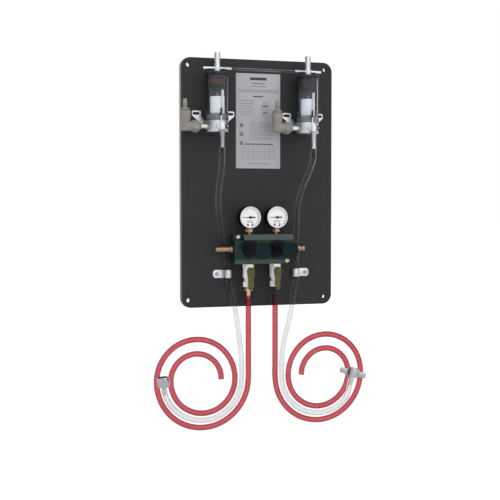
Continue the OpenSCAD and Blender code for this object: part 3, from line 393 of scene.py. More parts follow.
class Shape:
    """Closed shells in mm that are put together and become one piece."""

    def __init__(self) -> None:
        """Starts with nothing."""
        self.mesh = bmesh.new()

    def take(self, shell: bmesh.types.BMesh, place: Matrix, finish: int, ease: float) -> "Shape":
        """Closes a shell, eases its sharp edges and adds it in its place."""
        bmesh.ops.remove_doubles(shell, verts=shell.verts, dist=1e-4)
        bmesh.ops.recalc_face_normals(shell, faces=shell.faces)
        if ease:
            sharp = [e for e in shell.edges
                     if e.is_manifold and abs(e.calc_face_angle(0)) > EASED_ABOVE]
            bmesh.ops.bevel(shell, geom=sharp, offset=ease, offset_type="OFFSET",
                            affect="EDGES", segments=2, profile=0.5, material=-1,
                            clamp_overlap=True)
        bmesh.ops.transform(shell, matrix=place, verts=shell.verts)
        for face in shell.faces:
            face.material_index = finish
        self.join(shell)
        return self

    def join(self, shell: bmesh.types.BMesh) -> None:
        """Copies a shell into this shape and frees it."""
        carrier = bpy.data.meshes.new("carrier")
        shell.to_mesh(carrier)
        self.mesh.from_mesh(carrier)
        bpy.data.meshes.remove(carrier)
        shell.free()

    def turn(self, profile: Sequence[Point2], place: Matrix, finish: int = 0, ease: float = 0.4,
             steps: int = 56, hollow: bool = False) -> "Shape":
        """Adds a shell that is turned about its place's Z axis.

        Args:
            profile: Points as (radius, height), from the axis back to it unless hollow.
            place: Where the shell goes.
            finish: Number of its finish.
            ease: Width of its eased edges.
            steps: Faces round the axis.
            hollow: Joins the last point to the first, for a shell with an open bore.

        Returns:
            This shape.
        """
        shell = bmesh.new()
        verts = [shell.verts.new((radius, 0, height)) for radius, height in profile]
        edges = [shell.edges.new(pair) for pair in zip(verts, verts[1:])]
        if hollow:
            edges.append(shell.edges.new((verts[-1], verts[0])))
        bmesh.ops.spin(shell, geom=verts + edges, cent=(0, 0, 0), axis=(0, 0, 1),
                       dvec=(0, 0, 0), angle=FULL_TURN, steps=steps, use_merge=True,
                       use_duplicate=False)
        return self.take(shell, place, finish, ease)

    def rod(self, radius: float, length: float, place: Matrix, finish: int = 0,
            ease: float = 0.3, bore: float = 0, steps: int = 40) -> "Shape":
        """Adds a turned rod or tube from its place along Z."""
        if bore:
            wall = [(bore, 0), (radius, 0), (radius, length), (bore, length)]
            return self.turn(wall, place, finish, ease, steps, hollow=True)
        return self.turn([(0, 0), (radius, 0), (radius, length), (0, length)], place, finish,
                         ease, steps)

    def box(self, size: Point3, place: Matrix, finish: int = 0, ease: float = 0.4) -> "Shape":
        """Adds a box about its place's origin."""
        shell = bmesh.new()
        bmesh.ops.create_cube(shell, size=1)
        bmesh.ops.scale(shell, vec=size, verts=shell.verts)
        return self.take(shell, place, finish, ease)

    def plate(self, outline: Sequence[Point2], thick: float, place: Matrix, finish: int = 0,
              ease: float = 0.4, round_off: float = 0,
              holes: Sequence[Point3] = (),
              slots: Sequence[tuple[float, float, float, float]] = ()) -> "Shape":
        """Adds a plate cut to an outline, with holes and slots through it.

        Args:
            outline: Corners in the place's XY plane.
            thick: Thickness along the place's Z.
            place: Where the plate goes.
            finish: Number of its finish.
            ease: Width of its eased edges.
            round_off: Radius of the outline's corners.
            holes: Round holes as (x, y, radius).
            slots: Slots along X with round ends, as (x, y, length, width).

        Returns:
            This shape.
        """
        shell = bmesh.new()
        face = shell.faces.new([shell.verts.new((x, y, 0)) for x, y in outline])
        if round_off:
            bmesh.ops.bevel(shell, geom=face.verts[:], offset=round_off, affect="VERTICES",
                            segments=10, profile=0.5, material=-1)
        for x, y, length, width in slots:
            ends = shell.faces.new([shell.verts.new((x + sx * length / 2, y + sy * width / 2, 0))
                                    for sx, sy in ((-1, -1), (1, -1), (1, 1), (-1, 1))])
            bmesh.ops.bevel(shell, geom=ends.verts[:], offset=width * 0.49, affect="VERTICES",
                            segments=6, profile=0.5, material=-1)
        if holes or slots:
            bmesh.ops.delete(shell, geom=shell.faces[:], context="FACES_ONLY")
            for x, y, radius in holes:
                bmesh.ops.create_circle(shell, cap_ends=False, radius=radius, segments=32,
                                        matrix=Matrix.Translation((x, y, 0)))
            bmesh.ops.triangle_fill(shell, use_beauty=True, use_dissolve=False,
                                    edges=shell.edges[:])
        return self._raised(shell, thick, place, finish, ease)

    def prism(self, across: float, height: float, place: Matrix, finish: int = 0,
              ease: float = 0.4, sides: int = 6) -> "Shape":
        """Adds a prism with a corner on its place's X axis, across its flats wide."""
        shell = bmesh.new()
        bmesh.ops.create_circle(shell, cap_ends=True, segments=sides,
                                radius=across / 2 / math.cos(HALF_TURN / sides),
                                matrix=Matrix.Rotation(HALF_TURN / 2, 4, "Z"))
        return self._raised(shell, height, place, finish, ease)

    def _raised(self, shell: bmesh.types.BMesh, height: float, place: Matrix, finish: int,
                ease: float) -> "Shape":
        """Adds a flat shell that is raised to a height."""
        grown = bmesh.ops.extrude_face_region(shell, geom=shell.faces[:])
        top = [v for v in grown["geom"] if isinstance(v, bmesh.types.BMVert)]
        bmesh.ops.translate(shell, vec=(0, 0, height), verts=top)
        return self.take(shell, place, finish, ease)

    def hexagon(self, across: float, height: float, place: Matrix, finish: int = 0,
                dish: float = 1.2) -> "Shape":
        """Adds a wrench hexagon whose corners are turned down at both ends."""
        nut = Shape().prism(across, height, Matrix(), finish, 0.15)
        corner = across / 2 / math.cos(HALF_TURN / 6)
        lens = Shape().turn([(0, -0.01), (corner - dish, -0.01), (corner + 0.2, dish * 0.75),
                             (corner + 0.2, height - dish * 0.75), (corner - dish, height + 0.01),
                             (0, height + 0.01)], Matrix(), finish, 0)
        nut.work(lens, Cut.SHARED)
        bmesh.ops.transform(nut.mesh, matrix=place, verts=nut.mesh.verts)
        self.join(nut.mesh)
        return self

    def work(self, tool: "Shape", cut: Cut) -> "Shape":
        """Cuts the tool out of this shape, or keeps what both share."""
        blank, cutter = self._object("blank"), tool._object("cutter")
        modifier = blank.modifiers.new("cut", "BOOLEAN")
        modifier.operation = cut.value
        modifier.object = cutter
        modifier.solver = "EXACT"
        done = blank.evaluated_get(bpy.context.evaluated_depsgraph_get()).to_mesh()
        self.mesh = bmesh.new()
        self.mesh.from_mesh(done)
        for scrap in (blank, cutter):
            mesh = scrap.data
            bpy.data.objects.remove(scrap)
            bpy.data.meshes.remove(mesh)
        return self

    def _object(self, name: str) -> bpy.types.Object:
        """Object that holds this shape's mesh while it is worked on."""
        mesh = bpy.data.meshes.new(name)
        self.mesh.to_mesh(mesh)
        self.mesh.free()
        holder = put(name, mesh)
        bpy.context.view_layer.update()
        return holder

    def paint(self, finish: int, test: Callable[[Vector, Vector], bool]) -> None:
        """Gives a finish to the faces whose middle and normal pass a test."""
        for face in self.mesh.faces:
            face.normal_update()
            if test(face.calc_center_median(), face.normal):
                face.material_index = finish

    def paint_core(self, finish: int, place: Matrix, low: float, radius: float) -> None:
        """Gives a finish to the faces above a height and within a radius of a place's axis."""
        inward = place.inverted()

        def inside(middle: Vector, _: Vector) -> bool:
            """Says whether a face's middle lies in there."""
            middle = inward @ middle
            return middle.z > low and math.hypot(middle.x, middle.y) < radius

        self.paint(finish, inside)

    def piece(self, name: str, finishes: Sequence[Finish], node: str, slot: str,
              body: str = "board") -> bpy.types.Object:
        """Makes the finished piece.

        Args:
            name: Name of the piece.
            finishes: Its finishes, in the order of their numbers.
            node: The frame's node that it stands for.
            slot: Not used.
            body: The body that it rides on.

        Returns:
            The piece's object, at the origin.
        """
        bmesh.ops.scale(self.mesh, vec=(MM, MM, MM), verts=self.mesh.verts)
        mesh = bpy.data.meshes.new(name)
        self.mesh.to_mesh(mesh)
        self.mesh.free()
        mesh.polygons.foreach_set("use_smooth", [True] * len(mesh.polygons))
        mesh.set_sharp_from_angle(angle=SMOOTH_BELOW)
        for finish in finishes:
            mesh.materials.append(finish.material())
        made = put(name, mesh)
        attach(made, body)
        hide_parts(node)
        log.info("%s: %d faces", name, len(mesh.polygons))
        return made


@dataclass
class Studio:
    """Camera, light, floor and white surroundings."""

    place: Point3 = (-986.14, -2715.16, -41.76)
    look: Point3 = (0.33628, 0.94077, -0.04309)
    focal_px: float = 1154.57
    frame_px: float = 500.0
    sensor: float = 36.0
    room_level: float = 0.62
    box: Point3 = (0.3, -0.85, 0.15)
    lamps: tuple[tuple[str, Point3, float, float], ...] = (
        ("key lamp", (-0.25, 0.85, -0.4), 1.15, 100),
        ("side lamp", (0.9, 0.7, -0.2), 0.35, 60))
    floor_z: float = -760.0
    floor_lift: float = 0.4

    def camera(self) -> None:
        """Sets the camera at the photograph's viewpoint."""
        data = bpy.data.cameras.new("camera")
        data.sensor_width = self.sensor
        data.lens = self.focal_px * self.sensor / self.frame_px
        data.clip_end = 60.0
        ahead = Vector(self.look).normalized()
        right = ahead.cross(Vector((0, 0, 1))).normalized()
        turned = Matrix((right, right.cross(ahead), -ahead)).transposed().to_4x4()
        camera = put("camera", data)
        camera.matrix_world = Matrix.Translation(Vector(self.place) * MM) @ turned
        bpy.context.scene.camera = camera

    def lamp(self, name: str, towards: Point3, power: float, spread: float) -> None:
        """Adds a far soft lamp that shines along a direction."""
        data = bpy.data.lights.new(name, "SUN")
        data.energy = power
        data.angle = math.radians(spread)
        lamp = put(name, data)
        lamp.rotation_mode = "QUATERNION"
        lamp.rotation_quaternion = Vector(towards).to_track_quat("-Z", "Y")

    def world(self) -> None:
        """Sets white surroundings, dim in reflections on the camera side but for a soft box."""
        world = bpy.data.worlds.new("white room")
        world.use_nodes = True
        tree = world.node_tree
        tree.nodes.clear()
        light = add_node(tree, "ShaderNodeLightPath").outputs
        place = add_node(tree, "ShaderNodeTexCoord").outputs["Generated"]

        def along(way: Sequence[float]) -> bpy.types.NodeSocket:
            """How far the heading of a ray goes along a direction."""
            return add_node(tree, "ShaderNodeVectorMath", {"operation": "DOT_PRODUCT"},
                            {0: place, 1: way}).outputs["Value"]

        ahead = along((-self.look[0], -self.look[1], 0.0))
        room = ramp(tree, ahead, (0.3, 0.8), (0.2, 0.45))
        for heading, part in ((ahead, (-0.3, -0.7)), (along((0.0, 0.0, 1.0)), (0.3, 0.7)),
                              (along(Vector(self.box).normalized()), (0.78, 0.92))):
            room = work_out(tree, "ADD", room, ramp(tree, heading, part, (0.0, 0.8)))
        glossy = add_node(tree, "ShaderNodeMix", inputs={
            0: light["Is Glossy Ray"], 2: self.room_level, 3: room}).outputs[0]
        seen = work_out(tree, "ADD", light["Is Camera Ray"], light["Is Transmission Ray"])
        strength = add_node(tree, "ShaderNodeMix", inputs={0: seen, 2: glossy, 3: 1.0}).outputs[0]
        white = add_node(tree, "ShaderNodeBackground", inputs={
            "Color": WHITE, "Strength": strength}).outputs[0]
        add_node(tree, "ShaderNodeOutputWorld", inputs={"Surface": white})
        bpy.context.scene.world = world

    def floor(self) -> None:
        """Lays a pale floor that keeps the object's shadow."""
        shell = bmesh.new()
        bmesh.ops.create_grid(shell, x_segments=8, y_segments=8, size=30.0)
        bmesh.ops.translate(shell, vec=(0, 0, self.floor_z * MM), verts=shell.verts)
        mesh = bpy.data.meshes.new("floor")
        shell.to_mesh(mesh)
        shell.free()
        material = FLOOR.material()
        tree = material.node_tree
        output = next(n for n in tree.nodes if n.bl_idname == "ShaderNodeOutputMaterial")
        surface = output.inputs[0].links[0].from_socket
        light = add_node(tree, "ShaderNodeLightPath").outputs
        seen = light["Is Camera Ray"]
        for ray in ("Is Glossy Ray", "Is Transmission Ray"):
            seen = work_out(tree, "ADD", seen, light[ray])
        lift = add_node(tree, "ShaderNodeEmission", inputs={
            "Color": WHITE, "Strength": work_out(tree, "MULTIPLY", seen, self.floor_lift)})
        total = add_node(tree, "ShaderNodeAddShader", inputs={0: surface, 1: lift.outputs[0]})
        tree.links.new(total.outputs[0], output.inputs[0])
        mesh.materials.append(material)
        put("floor", mesh)

    def build(self) -> None:
        """Sets up everything round the object."""
        bpy.context.scene.view_settings.view_transform = "Standard"
        self.camera()
        self.world()
        for lamp in self.lamps:
            self.lamp(*lamp)
        self.floor()


@dataclass
class Hoses:
    """Red gas hoses, clear drain hoses and the clear link between the chambers."""

    step: int = 15
    radius: float = 7.15
    wall: float = 2.2
    coil_z: float = -479.0
    coil_r: float = 117.0
    coil_step: float = 17.6
    hose_top: float = -277.0
    drop_step: float = 28.86
    link_r: float = 2.7
    link_wall: float = 0.7
    link_push: float = 12.0
    link_bow: float = 26.0
    link_sag: float = 3.5
    nut_lead: float = 9.0

    def curve(self, name: str, route: Sequence[Point3], radius: float, wall: float,
              finish: Finish) -> tuple[bpy.types.Object, float]:
        """Lays a hollow hose along a smooth line through a route.

        Args:
            name: Name of the piece.
            route: Points of the hose's middle in mm.
            radius: Outer radius in mm.
            wall: Thickness of its wall in mm.
            finish: Its finish.

        Returns:
            The curve's object and its length in metres.
        """
        data = bpy.data.curves.new(name, "CURVE")
        data.dimensions = "3D"
        data.resolution_u = 6
        data.bevel_depth = radius * MM
        data.bevel_resolution = 10
        data.use_fill_caps = False
        data.twist_mode = "MINIMUM"
        spline = data.splines.new("BEZIER")
        spline.bezier_points.add(len(route) - 1)
        points = [Vector(p) * MM for p in route]
        length = 0.0
        for i, (knot, point) in enumerate(zip(spline.bezier_points, points)):
            before, after = points[max(i - 1, 0)], points[min(i + 1, len(points) - 1)]
            back, ahead = (point - before).length, (after - point).length
            if back and ahead:
                heading = ((point - before) / back * ahead + (after - point) / ahead * back)
            else:
                heading = after - before
            heading.normalize()
            knot.handle_left_type = knot.handle_right_type = "FREE"
            knot.co = point
            knot.handle_left = point - heading * (back or ahead) / 3
            knot.handle_right = point + heading * (ahead or back) / 3
            length += ahead
        data.materials.append(finish.material())
        hose = put(name, data)
        shell = hose.modifiers.new("wall", "SOLIDIFY")
        shell.thickness = wall * MM
        shell.offset = -1.0
        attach(hose, "board")
        return hose, length

    def gas(self, side: Side) -> None:
        """Red hose: down from the valve's barb, then a flat spiral of half turns."""
        s = side.value
        route = [(s * STATION_X, VALVE_Y, self.hose_top - self.drop_step * i) for i in range(7)]
        coil_x = STATION_X + self.coil_r + self.coil_step / 2
        for k in range(4):
            radius = self.coil_r - k * self.coil_step
            sense, start = (1, 0) if k % 2 else (-1, 180)
            middle = coil_x + sense * self.coil_step / 2
            for angle in range(start + self.step * bool(k), start + 181, self.step):
                a = math.radians(angle)
                route.append((s * (middle + radius * math.cos(a)), VALVE_Y,
                              self.coil_z + radius * math.sin(a)))
        name = f"gas_hose_{side.word}_red"
        hose, length = self.curve(name, route, self.radius, self.wall, RED_HOSE)
        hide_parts(f"gas_hose_{side.word}")
        tuple(c * MM for c in route[0])
        log.info("%s: %.4f m between its points", name, length)

    def drain_route(self, side: Side) -> list[Point3]:
        """Points of a drain hose, from its spigot down into the spiral and to its wing nut."""
        if side is Side.LEFT:
            hang = [(-118, -91, 84), (-118, -91, 58), (-119, -89, 34), (-121, -84, 10),
                    (-122, -75, -18), (-120, -65, -46), (-115, -54, -75), (-108, -43, -104),
                    (-100.5, -34, -134), (-92.5, -27, -164), (-84, -24, -192),
                    (-81, -23.5, -211), (-81, -23.5, -235), (-76.5, -24, -256),
                    (-71, -26, -278), (-66.5, -28.5, -300), (-63.2, -33, -326),
                    (-60.3, -38, -360), (-56.5, -42, -398), (-53.5, -43, -430),
                    (-52.8, -43, -458)]
            lift = [(-224, -47, -549), (-242, -55, -528.5), (-252, -61, -509.5)]
            last = 120
        else:
            hang = [(118, -91, 84), (117, -91, 60), (111, -89, 38), (103.5, -84, 15),
                    (95, -75, -10), (91, -65, -37), (90.5, -54, -64), (92.5, -43, -96),
                    (96, -33, -132), (98.3, -26, -172), (97.6, -23.5, -209),
                    (97.6, -23.5, -237), (94.8, -24, -258), (91, -26, -278),
                    (87, -28.5, -301), (81, -31.5, -324), (74, -35, -348), (66, -39, -372),
                    (58.5, -42, -397), (54, -43, -426), (52.8, -43, -456)]
            lift = [(200.5, -47, -565), (217.5, -54, -548.5), (225.5, -61, -530),
                    (228.2, -65.6, -512)]
            last = 105
        nest_r = self.coil_r - self.coil_step
        nest_x = STATION_X + self.coil_r
        nest = [(side.value * (nest_x - nest_r * math.cos(math.radians(a))), VALVE_Y,
                 self.coil_z - nest_r * math.sin(math.radians(a)))
                for a in range(0, last + 1, self.step)]
        end, lean = NUT_END[side], math.radians(NUT_LEAN[side])
        before = (end[0] - self.nut_lead * math.sin(lean), end[1],
                  end[2] - self.nut_lead * math.cos(lean))
        return [*hang, *nest, *lift, before, end]

    def drain(self, side: Side, fitting: bpy.types.Object) -> None:
        """Clear hose from a bleed valve to its wing nut."""
        route = self.drain_route(side)
        name = f"drain_hose_{side.word}_clear"
        hose, length = self.curve(name, route, self.radius, self.wall, CLEAR_HOSE)
        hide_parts(f"drain_hose_{side.word}")
        tuple(c * MM for c in route[0])
        log.info("%s: %.4f m between its points", name, length)

    def link(self) -> None:
        """Thin clear hose between the two cross tubes."""
        over = CROSS_REACH - self.link_push
        turn = math.radians(CROSS_TURN)
        reach = CHAMBER_X - over * math.cos(turn)
        end_y = CHAMBER_Y - over * math.sin(turn)
        route = []
        for i in range(17):
            t = -1 + i / 8
            free = (1 - t * t) ** 2
            route.append((t * reach, end_y - self.link_bow * free,
                          CROSS_Z - self.link_sag * free))
        hose, length = self.curve("link_hose_clear", route, self.link_r, self.link_wall,
                                  CLEAR_HOSE)
        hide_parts("link_hose")


@dataclass
class Board:
    """Wall board with its printed sheet, screws and hose clips."""

    width: float = 397.0
    height: float = 610.0
    thick: float = 16.0
    corner: float = 24.0
    hole_x: float = 180.0
    hole_z: float = 287.0
    hole_r: float = 5.5
    hole_reach: float = 9.0
    sheet_w: float = 116.5
    sheet_h: float = 234.0
    sheet_z: float = 154.0
    block_screws: tuple[Point2, ...] = ((-63.6, -133.2), (63.6, -190.2))
    block_screw_y: float = -49.5
    clip_screw_y: float = -17.5
    clip_z: float = -223.0
    clip_w: float = 20.0
    clip_y: float = -23.5
    clip_bore: float = 7.5
    clip_out: float = 9.0
    clip_hole: float = 28.0

    def board(self) -> None:
        """Board with dark skins, pale grey at its edges."""
        x, z = self.width / 2, self.height / 2
        shape = Shape().plate([(-x, -z), (x, -z), (x, z), (-x, z)], self.thick,
                              Way.FRONT.at(0, 0, 0), ease=0.4, round_off=self.corner,
                              holes=[(sx * self.hole_x, sz * self.hole_z, self.hole_r)
                                     for sx in (-1, 1) for sz in (-1, 1)])
        shape.paint(1, lambda middle, normal: abs(normal.y) < 0.5 and math.hypot(
            abs(middle.x) - self.hole_x, abs(middle.z) - self.hole_z) >= self.hole_reach)
        shape.piece("board_laminate", [BOARD_SKIN, BOARD_EDGE_GREY], "panel", "board")

    def sheet(self) -> None:
        """Sheet of film with plain bars in flat inks, each as (x, z, width, height, ink)."""
        y = -self.thick
        shape = Shape().box((self.sheet_w, 0.8, self.sheet_h), Way.UP.at(0, y - 0.4, self.sheet_z),
                            0, 0.15)
        bars = [(0, 258, 44, 6.5, 1), (0, 246.5, 34, 4, 2), (0, 239.5, 40, 2.2, 2),
                (0, 228, 106, 8, 3), (0, 214.5, 27, 2.6, 1)]
        bars += [(-31 + 2 * (i % 2), 204 - 7 * i, 40 - 5 * (i % 3), 1.8, 2) for i in range(6)]
        bars += [(18, 199 - 8 * i, 12 + 6 * (i % 3), 4.6, 4 if i % 2 else 3) for i in range(5)]
        bars += [(8 - 1.5 * (i % 3), 150 - 5.2 * i, 62 - 3 * (i % 3), 1.8, 2) for i in range(9)]
        bars += [(-44, 143 - 22 * i, 9, 9, 4) for i in range(3)]
        bars += [(2, 97, 74, 2.4, 1)]
        bars += [(2, 91 - 6 * i, 84, 0.8, 2) for i in range(6)]
        bars += [(-40 + 14 * i, 76, 0.8, 30.8, 2) for i in range(7)]
        bars += [(2, 49, 60, 1.8, 2)]
        for x, z, width, height, ink in bars:
            shape.box((width, 0.1, height), Way.UP.at(x, y - 0.84, z), ink, 0)
        shape.piece("sheet_print", [SHEET_FILM, INK_DARK, INK_GREY, INK_PALE, INK_BROWN],
                    "instruction_sheet", "sheet")

    def screw(self, shape: Shape, x: float, y: float, z: float, radius: float,
              height: float, finish: int) -> None:
        """Adds a domed screw head with a cross recess."""
        dome = [(0, 0), (radius, 0), (radius, height * 0.25), (radius * 0.9, height * 0.62),
                (radius * 0.62, height * 0.9), (radius * 0.3, height), (0, height)]
        head = Shape().turn(dome, Way.FRONT.at(x, y, z), finish, 0.12)
        long, half = radius * 0.55, radius * 0.13
        cross = [(cos * a - sin * b, sin * a + cos * b)
                 for cos, sin in ((1, 0), (0, 1), (-1, 0), (0, -1))
                 for a, b in ((long, -half), (long, half), (half, half))]
        recess = Shape().plate(cross, height, Way.FRONT.at(x, y - height * 0.55, z, 45),
                               finish, 0)
        head.work(recess, Cut.OUT)
        shape.join(head.mesh)

    def screws(self) -> None:
        """Two block screws and two clip screws."""
        shape = Shape()
        for x, z in self.block_screws:
            self.screw(shape, x, self.block_screw_y, z, 6.4, 3.5, 0)
        for side, x in CLIP_X.items():
            self.screw(shape, x + side.value * self.clip_hole, self.clip_screw_y, self.clip_z,
                       4.6, 2.4, 1)
        shape.piece("panel_screw_heads", [SATIN_FITTING, DARKER_FITTING], "panel_screws", "steel")

    def clips(self) -> None:
        """One-hole straps over the drain hoses."""
        shape = Shape()
        inner, outer, y, z = self.clip_bore, self.clip_out, self.clip_y, self.clip_z
        near, far, half = inner + 0.4, 37.5, self.clip_w / 2
        for side, x in CLIP_X.items():
            strap = Shape().rod(outer, self.clip_w, Way.UP.at(x, y, z - half), ease=0.3)
            strap.box((2 * outer, 7.5, self.clip_w), Way.UP.at(x, -19.75, z), 0, 0)
            hollow = Shape().rod(inner, self.clip_w + 4, Way.UP.at(x, y, z - half - 2), ease=0)
            hollow.box((2 * inner, 12, self.clip_w + 4), Way.UP.at(x, -17.5, z), 0, 0)
            strap.work(hollow, Cut.OUT)
            shape.join(strap.mesh)
            ear = [(near, -half), (far - 5, -half), (far, 5 - half), (far, half - 5),
                   (far - 5, half), (near, half)]
            if side is Side.LEFT:
                ear = [(-a, b) for a, b in reversed(ear)]
            shape.plate(ear, 1.5, Way.FRONT.at(x, -self.thick, z), 0, 0.3)
        shape.piece("hose_clip_straps", [BRIGHT_PLATE], "hose_clips", "steel")

    def build(self) -> None:
        """Builds the board and what is fixed flat to it."""
        self.board()
        self.sheet()
        self.screws()
        self.clips()


@dataclass
class Sided:
    """An assembly of one side, with {} for the side's word in the names of its pieces."""

    side: Side

    def piece(self, shape: Shape, name: str, finishes: Sequence[Finish], node: str, slot: str,
              body: str = "board") -> bpy.types.Object:
        """Makes a piece of this side.

        Args:
            shape: The piece's shells.
            name: Name of the piece, with {} in it.
            finishes: Its finishes, in the order of their numbers.
            node: The frame's node that it stands for, with {} in it.
            slot: Not used.
            body: The body that it rides on.

        Returns:
            The piece's object.
        """
        name, node, body = (text.format(self.side.word) for text in (name, node, body))
        return shape.piece(name, finishes, node, slot, body)


@dataclass
class Station(Sided):
    """An assembly in line with one station of the regulator."""

    @property
    def x(self) -> float:
        """Middle of the station from left to right."""
        return self.side.value * STATION_X


@dataclass
class FloatChamber(Sided):
    """One float detector: bracket, base, clear tube, float, cap, outlet, bleed and inlet."""

    tube_r: float = 27.0
    bore_r: float = 24.0
    base_z: float = 122.5
    base_top: float = 150.0
    tube_top: float = 258.0
    float_top: float = 208.0
    port_z: float = 136.0
    plug_x: float = 18.0
    bleed_y: float = -39.0
    lever_y: float = -30.45
    union_x: float = -64.0
    elbow_x: float = -81.0
    guide_r: float = 20.75
    guide_turn: float = -71.0

    def at(self, x: float = 0, y: float = 0, z: float = 0, way: Way = Way.UP,
           turn: float = 0) -> Matrix:
        """Place given from the chamber's axis in X and Y, and from the frame in Z."""
        return way.at(self.side.value * CHAMBER_X + x, CHAMBER_Y + y, z, turn)

    def bracket(self) -> None:
        """Flat bracket with two slotted ears."""
        right = [(18, 150), (32.7, 164.5), (30.7, 167), (30.7, 173), (33.5, 175.8), (51.7, 175.8),
                 (54.5, 173), (54.5, 163.5), (42.7, 153.6), (16, 128.3), (16, 124)]
        outline = right[::-1] + [(-x, z) for x, z in right]
        shape = Shape().plate(outline, 4, self.at(0, 36, 0, Way.FRONT), 0, 0.5,
                              slots=[(s * 43.2, 168.8, 17.2, 6.2) for s in (-1, 1)])
        self.piece(shape, "bracket_plate_{}", [BRIGHT_PLATE], "detector_bracket_{}", "bracket")

    def base(self) -> None:
        """Turned base with its seat collar, stub, foot and front bosses."""
        body = [(0, 122.5), (25.8, 122.5), (27, 123.7), (27, 150), (23.8, 150), (23.8, 165),
                (11, 165), (7, 161), (7, 131.5), (0, 131.5)]
        shape = Shape().turn(body, self.at(), 0, 0.35, 96)
        shape.paint(2, lambda middle, _: middle.z > self.base_top + 0.1)
        shape.rod(5.1, 27.5, self.at(-50.5, 0, self.port_z, Way.RIGHT), 1, bore=2.5)
        shape.rod(10, 32, self.at(0, 0, self.port_z, Way.BACK))
        shape.rod(10.7, 8.4, self.at(0, -20, self.port_z, Way.FRONT), bore=5.5)
        shape.rod(6.2, 14.5, self.at(self.plug_x, -10, self.port_z, Way.FRONT), bore=3.5)
        self.piece(shape, "base_turned_{}", [BASE_METAL, WHITE_PLATE, INNER_GREY_METAL],
                   "detector_base_{}", "base_metal")

    def tube(self) -> None:
        """Clear tube with polished ends."""
        shape = Shape().rod(self.tube_r, self.tube_top - self.base_top,
                            self.at(0, 0, self.base_top), ease=0.3, bore=self.bore_r, steps=96)
        self.piece(shape, "chamber_tube_{}", [ACRYLIC], "detector_chamber_{}", "clear")

    def cap(self) -> None:
        """Black cap with its plug and boss."""
        profile = [(4, 232), (23.8, 232), (23.8, 241.5), (20.8, 241.5), (20.8, 247.1),
                   (23.8, 247.1), (23.8, 258), (28.5, 258), (28.5, 264.5), (27, 266), (12, 266),
                   (12, 268.5), (6, 268.5), (6, 261.5), (4, 261.5)]
        shape = Shape().turn(profile, self.at(), 0, 0.35, 96, hollow=True)
        self.piece(shape, "cap_body_{}", [BLACK_PLASTIC], "detector_cap_{}", "black_plastic")

    def float_part(self) -> None:
        """White float with a stem above and a seat cone below."""
        profile = [(0, 162), (5, 162), (8, 166), (12.5, 166), (15, 166.7), (16.8, 168.5),
                   (17.5, 171), (17.5, self.float_top), (2.5, self.float_top), (2.5, 216),
                   (0, 216)]
        shape = Shape().turn(profile, self.at(), 0, 0.4, 72)
        shape.paint(1, lambda middle, _: middle.z > self.float_top + 0.2)
        self.piece(shape, "float_turned_{}", [FLOAT_PLASTIC, INNER_GREY_METAL], "float_{}",
                   "white_plastic", "float_body_{}")

    def outlet(self) -> None:
        """Ribbed spigot with the thin cross tube through its foot."""
        profile = [(5.9, 262), (5.9, 268.5), (7.6, 268.5), (7.6, 283.5), (6.7, 283.5),
                   (6.7, 284.5), *barbs(6.7, 7.75, 285, 6, 4.8), (6.9, 314), (4, 314), (4, 262)]
        shape = Shape().turn(profile, self.at(), 0, 0.2, 48, hollow=True)
        inner, outer = (Way.RIGHT, Way.LEFT) if self.side is Side.LEFT else (Way.LEFT, Way.RIGHT)
        swivel = Matrix.Rotation(math.radians(CROSS_TURN * self.side.value), 4, "Z")
        for way, radius, bore, finish in ((inner, 3.55, 2.7, 1), (outer, 3.4, 1.8, 0)):
            place = self.at() @ swivel @ way.at(0, 0, CROSS_Z)
            shape.rod(radius, CROSS_REACH, place, finish, 0.3, bore, 32)
            shape.rod(4.6, 9.5, place, ease=0.4, steps=32)
        self.piece(shape, "outlet_spigot_{}", [BRIGHT_FITTING, SATIN_FITTING],
                   "outlet_cross_{}", "steel")

    def bleed(self) -> None:
        """Bleed valve with its black hose spigot, and its lever."""
        shape = Shape().rod(5.45, 20, self.at(0, -19, self.port_z, Way.FRONT))
        shape.turn([(2.5, 84), (6.8, 84), (6.8, 87), (6, 87), (6, 128), (6.5, 128), (6.5, 142),
                    (5.5, 143), (2.5, 143)], self.at(0, self.bleed_y), 0, 0.3, 48, hollow=True)
        shape.paint(2, lambda middle, _: middle.z < self.base_z)
        shape.rod(4.7, 20.2, self.at(0, self.bleed_y, 64), 1, 0.4, bore=2.5)
        # The left valve's darker plating is painted shade, the right valve's lighter plating
        # painted light.
        plating = DARKER_FITTING if self.side is Side.LEFT else SATIN_FITTING
        self.piece(shape, "bleed_valve_{}", [WHITE_PLATE, BLACK_PLASTIC, plating],
                   "drain_valve_{}", "steel")
        lever = Shape().rod(9.5, 3.5, self.at(0, -28.7, self.port_z, Way.FRONT), bore=5.5)
        lever.rod(1.5, 21, self.at(0, self.lever_y, 142.5), 0, 0.2, steps=20)
        lever.turn([(0, 161.5), (2.4, 161.5), (2.4, 176.5), (2.05, 178.3), (1.2, 179.2),
                    (0, 179.5)], self.at(0, self.lever_y), 1, 0.15, 24)
        self.piece(lever, "bleed_lever_{}", [WHITE_PLATE, LEVER_TIP], "drain_lever_{}",
                   "lever_red", "bleed_{}")

